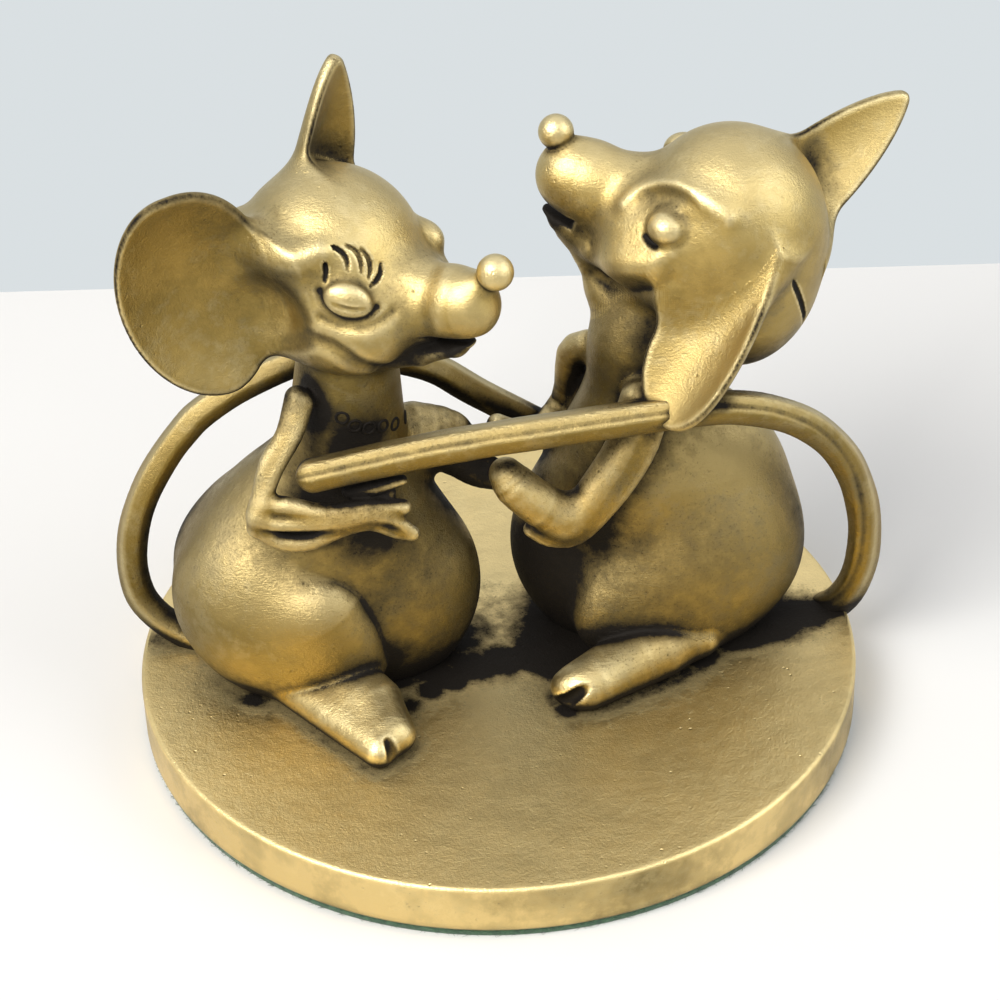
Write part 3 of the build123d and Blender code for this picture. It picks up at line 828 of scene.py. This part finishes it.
def necklace_rings(field):
    """The necklace's stamped rings, black with wash, let flush into the neck."""
    across, thick, sides, tube = 0.56, 0.15, 20, 6
    turn, roll = [a.ravel() for a in np.meshgrid(np.arange(sides), np.arange(tube), indexing="ij")]
    on, up_roll = (turn + 1) % sides * tube, (roll + 1) % tube
    ring = np.stack([turn * tube + roll, on + roll, on + up_roll, turn * tube + up_roll], 1)
    a, r = turn * 2 * math.pi / sides, roll * 2 * math.pi / tube
    points, quads = [], []
    for bead in BEADS:
        out = unit(slopes(field, bead[None], 0.05)[1][0])
        right = unit(np.cross((0, 0, 1.0), out))
        up = np.cross(out, right)
        spoke = np.cos(a)[:, None] * right + np.sin(a)[:, None] * up
        quads.append(ring + len(points) * len(a))
        points.append(bead + spoke * (across + thick * np.cos(r))[:, None] + out * (thick * np.sin(r) - 0.03)[:, None])
    return np.concatenate(points), np.concatenate(quads)


def cast(name):
    """A casting's points and faces, with how hollow, ridged and washed each point is."""
    kind = name.split("_")[-1]
    low, high = piece_box(name, 5.0)
    low, high = np.maximum(low, room_low + 0.02), np.minimum(high, room_high - 0.02)
    low[2] = -0.4 if kind in ("body", "foot") else max(low[2], LOWEST)
    field, away = skin(name)
    points, quads, normals = surface(field, low, high, FINE[kind] * (1.0))
    quiet = np.clip(away(points) / 0.5 - 0.2, 0, 1)
    marks = dict(
        hollow=hollow_and_shade_at(points, normals), ridge=ridge_at(points, quads, normals) * quiet, wash=washed_and_shaded(points)
    )
    if name == "left_body":
        ring_points, ring_quads = necklace_rings(field)
        quads = np.concatenate([quads, ring_quads + len(points)])
        points = np.concatenate([points, ring_points])
        for key in marks:
            marks[key] = np.concatenate([marks[key], np.full(len(ring_points), float(key == "wash"))])
    return name, points, quads, marks


brass_pieces = {}
with ThreadPoolExecutor(4) as workers:
    castings = list(workers.map(cast, [name for name in PIECES if not name.endswith("tail")]))
for name, points, quads, marks in castings:
    brass_pieces[name] = make_object(name + "_casting", points, quads, name, "antique_brass", **marks)

# %% [markdown]
# The tails are drawn bars, so they are swept and not sculpted.
# Their section is a soft hexagon, and the front bar has a groove on the side that faces the viewer.
# The groove catches the dark wash, which splits the bar into a bright upper band and a tan lower facet. The bright
# band is a painted highlight on both bars, along the side that faces the viewer and the light above.

# %% Sweep the tails
BAR_SIDES, BAR_STEP, GROOVE_ANGLE, HIGHLIGHT_ANGLE = 36, 0.28, -0.12, 0.75


def peak(angles, at, wide):
    """1 at an angle, falling off on both sides of it."""
    return np.exp(-(((angles - at + math.pi) % (2 * math.pi) - math.pi) / wide) ** 2)


def sweep_bar(path, radius, groove, round_tip):
    path = smooth_path(path)
    run = np.linalg.norm(np.diff(path, axis=0), axis=1)
    at = np.concatenate([[0], np.cumsum(run)])
    t = np.linspace(0, at[-1], int(at[-1] / BAR_STEP))
    close = radius * (1 - np.cos(np.linspace(0, math.pi / 2, 7)))
    t = np.unique(np.concatenate([t[(t > radius) & (t < at[-1] - radius)], close, at[-1] - close]))
    centre = np.stack([np.interp(t, at, path[:, i]) for i in range(3)], 1)
    along = np.gradient(centre, t, axis=0)
    along /= np.linalg.norm(along, axis=1)[:, None]
    front = EYE - centre + np.array([0, 0, 60.0])
    front -= (front * along).sum(1)[:, None] * along
    front /= np.linalg.norm(front, axis=1)[:, None]
    above = np.cross(front, along)
    above *= np.where(np.median(above[:, 2]) < 0, -1, 1)
    a = np.linspace(0, 2 * math.pi, BAR_SIDES, endpoint=False)
    facet = math.cos(math.pi / 6) / np.cos((a + math.pi / 6) % (math.pi / 3) - math.pi / 6)
    section = radius * (0.62 * facet + 0.38) - groove * peak(a, GROOVE_ANGLE, 0.17)
    thin = 1.0
    if round_tip:
        thin = np.sqrt(np.clip(1 - (1 - np.clip((at[-1] - t) / radius, 0, 1)) ** 2, 0.0004, 1))
    wobble = 1 + 0.004 * np.sin(t * 9.0 + 2 * np.sin(t * 1.7)) + 0.012 * np.sin(t * 0.9)
    r = section[None] * (thin * wobble)[:, None]
    ring = front[:, None] * (np.cos(a) * r)[..., None], above[:, None] * (np.sin(a) * r)[..., None]
    points = centre[:, None] + ring[0] + ring[1]
    i, j = np.meshgrid(np.arange(len(t) - 1), np.arange(BAR_SIDES), indexing="ij")
    this, following, k = i * BAR_SIDES, (i + 1) * BAR_SIDES, (j + 1) % BAR_SIDES
    quads = np.stack([this + j, following + j, following + k, this + k], -1).reshape(-1, 4)
    normals = (points - centre[:, None]).reshape(-1, 3)
    normals /= np.maximum(np.linalg.norm(normals, axis=1), 1e-9)[:, None]
    # The bright band is a painted highlight on the side that faces the viewer and the light above. The groove is
    # darkened as patina.
    notch, painted_highlight = np.tile(peak(a, GROOVE_ANGLE, 0.2), len(t)), np.tile(peak(a, HIGHLIGHT_ANGLE, 0.35), len(t))
    return points.reshape(-1, 3), quads, normals, notch, painted_highlight


for name, path, radius, groove in (("left_tail", LEFT_TAIL, 1.5, 0.0), ("right_tail", RIGHT_TAIL, 1.62, 0.1)):
    points, quads, normals, notch, painted_highlight = sweep_bar(path, radius, groove, name == "right_tail")
    area = np.cross(points[quads[:, 1]] - points[quads[:, 0]], points[quads[:, 2]] - points[quads[:, 0]])
    if (area * normals[quads[:, 0]]).sum() < 0:
        quads = quads[:, ::-1]
    cut = (groove > 0) * notch
    marks = dict(
        hollow=np.clip(hollow_and_shade_at(points, normals, skip=name) + 0.3 * cut, 0, 1),
        # On the tails the ridge mark carries the painted highlight.
        ridge=np.clip(painted_highlight * 0.6 - cut * 0.5, -1, 1), wash=washed_and_shaded(points),
    )
    brass_pieces[name] = make_object(name + "_casting", points, quads, name, "antique_brass", **marks)

# %% [markdown]
# The base is a turned disc, spun from a profile with a slightly broken top edge.
# Its top is fine enough to carry the dark patina and the painted shadow around the feet.

# %% Spin the base
def spin(profile, sides):
    """profile: rows of radius and height, from the middle of one face to the middle of the other."""
    angles = np.linspace(0, 2 * math.pi, sides, endpoint=False)
    ring = np.stack([np.cos(angles), np.sin(angles), np.zeros(sides)], -1)
    points = np.concatenate([ring * r + [0, 0, z] for r, z in profile])
    i = np.arange(sides)
    j = (i + 1) % sides
    faces = [np.stack([k + i, k + sides + i, k + sides + j, k + j], 1) for k in sides * np.arange(len(profile) - 1)]
    return points, np.concatenate(faces)


BASE_RADIUS, BASE_DEEP, MIDDLE_HOLE = 35.0, SEAT - FELT_TOP, 0.02
EDGE_IN, EDGE_ROUND = 0.45, 0.42
top = [(r, 0.0) for r in np.linspace(MIDDLE_HOLE, BASE_RADIUS - EDGE_IN, 72)]
edge = [
    (BASE_RADIUS - EDGE_IN + EDGE_ROUND * math.sin(a), -EDGE_ROUND + EDGE_ROUND * math.cos(a))
    for a in np.linspace(0.3, math.pi / 2, 5)
]
wall = [(BASE_RADIUS - 0.02, z) for z in np.linspace(-0.7, -BASE_DEEP + 0.35, 9)]
foot_edge = [(BASE_RADIUS - 0.1, -BASE_DEEP + 0.12), (BASE_RADIUS - 0.4, -BASE_DEEP), (MIDDLE_HOLE, -BASE_DEEP)]
points, quads = spin(top + edge + wall + foot_edge, 360)
upward = np.repeat(np.array([[0.0, 0, 1]]), len(points), 0)
on_top = points[:, 2] > -0.01
marks = dict(
    hollow=np.where(on_top, 0.6 * hollow_and_shade_at(points, upward, FLOOR_PROBES, floor=False), 0.0),
    ridge=np.zeros(len(points)), wash=np.where(on_top, washed_and_shaded(points, FLOOR_WASH_AND_SHADOW), 0.0),
)
base = make_object("base_disc", points, quads, "base", "antique_brass", **marks)

# %% [markdown]
# The felt is a thin green pad under the base.
# Its edge is fuzzy: short fibres stick out between the metal and the table.

# %% Felt pad and its fibres
rng = np.random.default_rng(7)
FELT_RADIUS, FIBRES, FIBRE_LONG, FIBRE_THICK = 34.6, 1500, 0.42, 0.03
profile = [
    (MIDDLE_HOLE, 0.0), (FELT_RADIUS, 0.0), (FELT_RADIUS + 0.04, -0.2),
    (FELT_RADIUS + 0.04, -FELT_TOP + 0.1), (FELT_RADIUS, -FELT_TOP), (MIDDLE_HOLE, -FELT_TOP),
]
points, quads = spin(profile, 240)
points[:, 2] -= BASE_DEEP
fibre_points, fibre_quads = [points], [quads]
prism = np.array([[k + m, k + (m + 1) % 4, k + 4 + (m + 1) % 4, k + 4 + m] for k in (0, 4) for m in range(4)])
for i in range(FIBRES):
    a = rng.uniform(0, 2 * math.pi)
    out = np.array([math.cos(a), math.sin(a), 0.0])
    along = np.array([-out[1], out[0], 0.0])
    root = out * (FELT_RADIUS - 0.1) + [0, 0, -BASE_DEEP - rng.uniform(0.08, FELT_TOP - 0.05)]
    lean, rise = rng.uniform(-0.7, 0.7), rng.uniform(-0.12, 0.2)
    spine = [root + out * t * FIBRE_LONG + along * lean * t * t + np.array([0, 0, rise * t]) for t in (0, 0.5, 1)]
    for k, s in enumerate(spine):
        w = FIBRE_THICK * (1 - 0.35 * k)
        ring = [s + along * w, s + [0, 0, w], s - along * w, s - [0, 0, w]]
        fibre_points.append(np.clip(ring, [-99, -99, -SEAT + 0.01], [99, 99, -BASE_DEEP - 0.01]))
    fibre_quads.append(prism + len(points) + i * 12)
felt = make_object("felt_disc", np.concatenate(fibre_points), np.concatenate(fibre_quads), "felt_pad", "green_felt")

# %% [markdown]
# The finish is cast brass that was blackened and then rubbed back. Three effects are shared by all the metal.
# Cast grain is the fine sandy skin and pits, patina is the dark wash left in hollows, with painted shade under things
# and in shadowed places, and rubbed edges are the bright ridges. Faces that point up get painted light, faces that
# point down painted shade, and the tails a painted highlight band.
# Each is in a node group with named inputs, so that every casting can have its own amounts.

# %% Small helpers for nodes, so that a shader can be written as sums
def node(tree, kind, links=None, **settings):
    """A node with its settings and its sockets' values or links."""
    made = tree.nodes.new(kind)
    for key, value in settings.items():
        setattr(made, key, value)
    for key, value in (links or {}).items():
        value = value.socket if isinstance(value, Wire) else value
        if isinstance(value, bpy.types.NodeSocket):
            tree.links.new(value, made.inputs[key])
        else:
            made.inputs[key].default_value = value
    return made


def maths(tree, operation, a, b):
    return Wire(tree, node(tree, "ShaderNodeMath", {0: a, 1: b}, operation=operation).outputs[0])


class Wire:
    """A node's output. Adding, subtracting or multiplying wires makes a maths node."""

    def __init__(self, tree, socket):
        self.tree, self.socket = tree, socket

    def __add__(self, other):
        return maths(self.tree, "ADD", self, other)

    def __sub__(self, other):
        return maths(self.tree, "SUBTRACT", self, other)

    def __rsub__(self, other):
        return maths(self.tree, "SUBTRACT", other, self)

    def __mul__(self, other):
        return maths(self.tree, "MULTIPLY", self, other)

    def clamped(self):
        self.socket.node.use_clamp = True
        return self

    def remap(self, low, high, out_low=0.0, out_high=1.0):
        ends = {"Value": self, "From Min": low, "From Max": high, "To Min": out_low, "To Max": out_high}
        return Wire(self.tree, node(self.tree, "ShaderNodeMapRange", ends).outputs["Result"])


def noise(tree, vector, scale, detail, roughness=0.5):
    links = {"Vector": vector, "Scale": scale, "Detail": detail, "Roughness": roughness}
    return Wire(tree, node(tree, "ShaderNodeTexNoise", links).outputs["Fac"])


def mix_colour(tree, factor, a, b):
    return node(tree, "ShaderNodeMix", {0: factor, 6: a, 7: b}, data_type="RGBA").outputs[2]


def new_group(name, inputs, outputs):
    """An empty node group, its inputs as wires, and a function that sets its outputs."""
    tree = bpy.data.node_groups.new(name, "ShaderNodeTree")
    for label, value in inputs.items():
        kind = "Vector" if value is None else "Color" if isinstance(value, tuple) else "Float"
        socket = tree.interface.new_socket(name=label, in_out="INPUT", socket_type="NodeSocket" + kind)
        if value is not None:
            socket.default_value = value
    for label, kind in outputs.items():
        tree.interface.new_socket(name=label, in_out="OUTPUT", socket_type="NodeSocket" + kind)
    given, result = tree.nodes.new("NodeGroupInput"), tree.nodes.new("NodeGroupOutput")

    def finish(**wires):
        for label, wire in wires.items():
            tree.links.new(getattr(wire, "socket", wire), result.inputs[label])

    return tree, {label: Wire(tree, given.outputs[label]) for label in inputs}, finish


# %% Cast grain: sand, soft lumps, pits where the lumps are high, and the hair lines of a brush
grain_tree, given, finish = new_group(
    "cast_grain", {"Vector": None, "Grain": 0.5, "Pits": 0.5, "Lumps": 0.4, "Brush": 0.5},
    {"Height": "Float", "Speckle": "Float"},
)
place = given["Vector"]
sand = noise(grain_tree, place, 4200.0, 4.0, 0.7)
lumps = noise(grain_tree, place, 420.0, 3.0, 0.55)
cells = node(grain_tree, "ShaderNodeTexVoronoi", {"Vector": place, "Scale": 900.0, "Randomness": 1.0})
pit = Wire(grain_tree, cells.outputs["Distance"]).remap(0.16, 0.02) * lumps.remap(0.5, 0.62)
brushed = {"Vector": place, "Rotation": (0.35, 0.5, 0.6), "Scale": (900.0, 8000.0, 8000.0)}
hair = noise(grain_tree, node(grain_tree, "ShaderNodeMapping", brushed).outputs[0], 1.0, 3.0, 0.6)
height = (sand - 0.5) * given["Grain"] + (lumps - 0.5) * (given["Lumps"] * 3.0)
height = height - pit * given["Pits"] + (hair - 0.5) * given["Brush"]
finish(Height=height, Speckle=(pit * 0.7 + sand.remap(0.56, 0.74, 0.0, 0.8)).clamped())

# %% Patina, rubbed edges, painted light and shade, and colour
METAL, PALE = (0.38, 0.247, 0.058), (0.79, 0.655, 0.35)
patina_and_painted_light_tree, given, finish = new_group(
    "rubbed_patina_and_painted_light",
    {
        "Vector": None, "Hollow": 0.0, "Ridge": 0.0, "Speckle": 0.0, "Top": 0.0,
        "Patina": 1.0, "Rubbed": 1.0, "Mottle": 0.5, "Metal colour": (*METAL, 1), "Pale colour": (*PALE, 1),
        "Stain and shade colour": (0.15, 0.11, 0.033, 1), "Patina and shade colour": (0.010, 0.007, 0.004, 1),
    },
    {"Colour": "Color", "Roughness": "Float", "Bare": "Float"},
)
# The up-facing input paints light on faces that point up and shade on faces that point down.
place, ridge, top = given["Vector"], given["Ridge"], given["Top"]
clouds, fine = noise(patina_and_painted_light_tree, place, 160.0, 5.0, 0.62), noise(patina_and_painted_light_tree, place, 700.0, 4.0, 0.7)
broken = (clouds - 0.5) * 0.9 + (fine - 0.5) * 0.8
wash = given["Hollow"] + broken * given["Mottle"] + ridge.remap(-0.15, -1.2) * 0.45 + given["Speckle"] * 0.35
wash = (wash * given["Patina"]).remap(0.17, 0.85)
# Paler on rubbed ridges and where the mottle is light, with painted light on faces that point up.
rubbed_and_painted_light = ridge.remap(0.12, 0.9) * given["Rubbed"] + broken.remap(0.0, 0.35) * 0.4 + top.remap(0.15, 1.0) * 0.6
rubbed_and_painted_light = (rubbed_and_painted_light * (1.0 - wash)).clamped()
# Random brown stains, with painted brown shade on faces that point down.
stained_and_painted_shade = ((noise(patina_and_painted_light_tree, place, 75.0, 4.0, 0.6) + broken * 0.35).remap(0.42, 0.75) * 0.75).clamped()
stained_and_painted_shade = (stained_and_painted_shade + top.remap(0.45, -0.5) * 0.6).clamped()
tint = mix_colour(patina_and_painted_light_tree, stained_and_painted_shade, given["Metal colour"], given["Stain and shade colour"])
tint = mix_colour(patina_and_painted_light_tree, rubbed_and_painted_light, tint, given["Pale colour"])
tint = mix_colour(patina_and_painted_light_tree, wash, tint, given["Patina and shade colour"])
finish(Colour=tint, Roughness=wash * 0.3 + 0.41 + broken * 0.2 - rubbed_and_painted_light * 0.08, Bare=1.0 - wash * 0.4)


# %% The brass materials
def brass(
    name, grain=0.6, pits=0.5, brush=0.3, patina=1.0, rubbed=0.7, mottle=0.75, bump=0.00011, metal=METAL, pale=PALE
):
    material = bpy.data.materials.new(name)
    material.use_nodes = True
    tree = material.node_tree
    place = node(tree, "ShaderNodeTexCoord").outputs["Object"]
    hollow, ridge, wash = [
        Wire(tree, node(tree, "ShaderNodeAttribute", attribute_name=mark).outputs["Fac"])
        for mark in ("hollow", "ridge", "wash")
    ]
    normal = node(tree, "ShaderNodeNewGeometry").outputs["Normal"]
    # How much a face points up, for the painted light from above and the painted shade beneath.
    top = node(tree, "ShaderNodeSeparateXYZ", {"Vector": normal}).outputs["Z"]
    amounts = {"Vector": place, "Grain": grain, "Pits": pits, "Brush": brush}
    skin_grain = node(tree, "ShaderNodeGroup", amounts, node_tree=grain_tree).outputs
    amounts = {
        "Vector": place, "Hollow": hollow + wash, "Ridge": ridge, "Speckle": skin_grain["Speckle"], "Top": top,
        "Patina": patina, "Rubbed": rubbed, "Mottle": mottle, "Metal colour": (*metal, 1), "Pale colour": (*pale, 1),
    }
    coat = node(tree, "ShaderNodeGroup", amounts, node_tree=patina_and_painted_light_tree).outputs
    relief = node(tree, "ShaderNodeBump", {"Height": skin_grain["Height"], "Strength": 1.0, "Distance": bump})
    for key, value in (
        ("Base Color", coat["Colour"]), ("Roughness", coat["Roughness"]), ("Metallic", coat["Bare"]),
        ("Normal", relief.outputs["Normal"]),
    ):
        tree.links.new(value, tree.nodes["Principled BSDF"].inputs[key])
    return material


finishes = {
    "head": brass("satin_brass_heads", grain=0.55, patina=0.88, bump=0.00009, metal=(0.52, 0.375, 0.125)),
    "ear": brass(
        "satin_brass_ears", grain=0.7, pits=0.7, patina=0.85, metal=(0.46, 0.32, 0.095), pale=(0.70, 0.58, 0.31)),
    "body": brass(
        "satin_brass_bodies", brush=0.4, rubbed=0.6, metal=(0.30, 0.213, 0.068), pale=(0.60, 0.495, 0.27)),
    "arm": brass("rough_brass_arms", grain=1.0, pits=0.6, mottle=0.9, rubbed=0.5),
    "foot": brass("polished_brass_feet", grain=0.35, pits=0.3, mottle=0.5, rubbed=0.8, bump=0.0001),
    "tail": brass(
        "drawn_brass_tails", grain=0.8, mottle=0.8, rubbed=0.8, metal=(0.29, 0.195, 0.048), pale=(0.62, 0.50, 0.25)),
}
for name, piece in brass_pieces.items():
    piece.data.materials.append(finishes[name.split("_")[-1]])
base_finish = brass(
    "mottled_brass_base", pits=0.8, brush=0.12, mottle=0.8, metal=(0.94, 0.71, 0.31), pale=(0.98, 0.79, 0.39))
base.data.materials.append(base_finish)
print("brass finishes:", ", ".join(sorted(finishes)))

# %% [markdown]
# Felt scatters light and has no gloss: a deep green with lighter and darker wool, high roughness and a soft sheen.

# %% The felt material
wool = bpy.data.materials.new("green_wool_felt")
wool.use_nodes = True
tree = wool.node_tree
shader = tree.nodes["Principled BSDF"]
fluff = noise(tree, node(tree, "ShaderNodeTexCoord").outputs["Object"], 2200.0, 5.0, 0.7)
colour = mix_colour(tree, fluff.remap(0.35, 0.65), (0.02, 0.06, 0.03, 1), (0.06, 0.15, 0.07, 1))
tree.links.new(colour, shader.inputs["Base Color"])
tree.links.new(fluff.remap(0.3, 0.7, 0.88, 1.0).socket, shader.inputs["Roughness"])
shader.inputs["Sheen Weight"].default_value = 0.4
relief = node(tree, "ShaderNodeBump", {"Height": fluff, "Strength": 0.8, "Distance": 0.0001})
tree.links.new(relief.outputs["Normal"], shader.inputs["Normal"])
felt.data.materials.append(wool)
print("felt finish:", wool.name)

# %% [markdown]
# The object stands on a pale table with a cool grey room behind.
# The table ends a little way behind the object, as in the photograph.
# The light is a big soft window at the upper left and front, with a weaker one opposite.
# Brass needs large soft shapes to mirror.

# %% Table and room
TABLE_HALF, TABLE_FRONT, TABLE_BACK, TABLE_COLOUR = 1.2, -1.0, 0.079, (0.835, 0.825, 0.81)
table = bpy.data.meshes.new("table_top")
corners = [(x, y, 0) for x, y in (
    (-TABLE_HALF, TABLE_FRONT), (TABLE_HALF, TABLE_FRONT), (TABLE_HALF, TABLE_BACK), (-TABLE_HALF, TABLE_BACK))]
table.from_pydata(corners, [], [(0, 1, 2, 3)])
table_top = bpy.data.objects.new("table_top", table)
bpy.context.collection.objects.link(table_top)
paint = bpy.data.materials.new("white_table")
paint.use_nodes = True
tree = paint.node_tree
shader = tree.nodes["Principled BSDF"]
cloud = noise(tree, node(tree, "ShaderNodeTexCoord").outputs["Object"], 14.0, 2.0)
shade = mix_colour(tree, cloud, (*[c * 0.97 for c in TABLE_COLOUR], 1), (*TABLE_COLOUR, 1))
tree.links.new(shade, shader.inputs["Base Color"])
shader.inputs["Roughness"].default_value = 0.6
table.materials.append(paint)
table_top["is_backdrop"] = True

world = bpy.data.worlds.new("soft_room")
bpy.context.scene.world = world
world.use_nodes = True
tree = world.node_tree
for old in list(tree.nodes):
    tree.nodes.remove(old)
rays = node(tree, "ShaderNodeLightPath").outputs
mirrored_rays = maths(tree, "MAXIMUM", rays["Is Glossy Ray"], rays["Is Transmission Ray"])
seen = maths(tree, "MAXIMUM", rays["Is Camera Ray"], mirrored_rays)
around = node(tree, "ShaderNodeTexCoord").outputs["Generated"]
height = Wire(tree, node(tree, "ShaderNodeSeparateXYZ", {"Vector": around}).outputs["Z"])
walls = mix_colour(tree, height.remap(-0.02, 0.25), (0.70, 0.745, 0.765, 1), (0.22, 0.22, 0.22, 1))
room = mix_colour(tree, height.remap(0.15, 0.6), walls, (0.95, 0.96, 0.98, 1))
shown = node(tree, "ShaderNodeBackground", {"Color": room, "Strength": 1.0})
light = node(tree, "ShaderNodeBackground", {"Color": room, "Strength": 0.52})
both = node(tree, "ShaderNodeMixShader", {0: seen, 1: light.outputs[0], 2: shown.outputs[0]})
node(tree, "ShaderNodeOutputWorld", {"Surface": both.outputs[0]})
bpy.context.scene.view_settings.view_transform = "Standard"


# %% Lamps
def window(name, place, size, watts, colour):
    """A soft square light that is turned to the middle of the object."""
    lamp = bpy.data.lights.new(name, "AREA")
    lamp.shape, lamp.size, lamp.size_y, lamp.energy, lamp.color = "RECTANGLE", *size, watts, colour
    made = bpy.data.objects.new(name, lamp)
    bpy.context.collection.objects.link(made)
    made.location = place
    made.rotation_euler = (Vector((0, 0, 0.03)) - Vector(place)).to_track_quat("-Z", "Y").to_euler()


window("window_left", (-0.35, -0.35, 0.5), (0.45, 0.35), 5.0, (1.0, 0.98, 0.94))
window("window_right", (0.45, -0.15, 0.3), (0.4, 0.4), 1.3, (0.95, 0.98, 1.0))
print("stage and lamps set")

# %% [markdown]
# Last, the sizes of the solids and of the dressed model are printed.

# %% Sizes and finish
dressed_box = [list(corner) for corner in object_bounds()]
for label, box in (("solids", cad_box), ("dressed", dressed_box)):
    print(label, np.round(np.array(box) * TO_MM, 2).tolist())
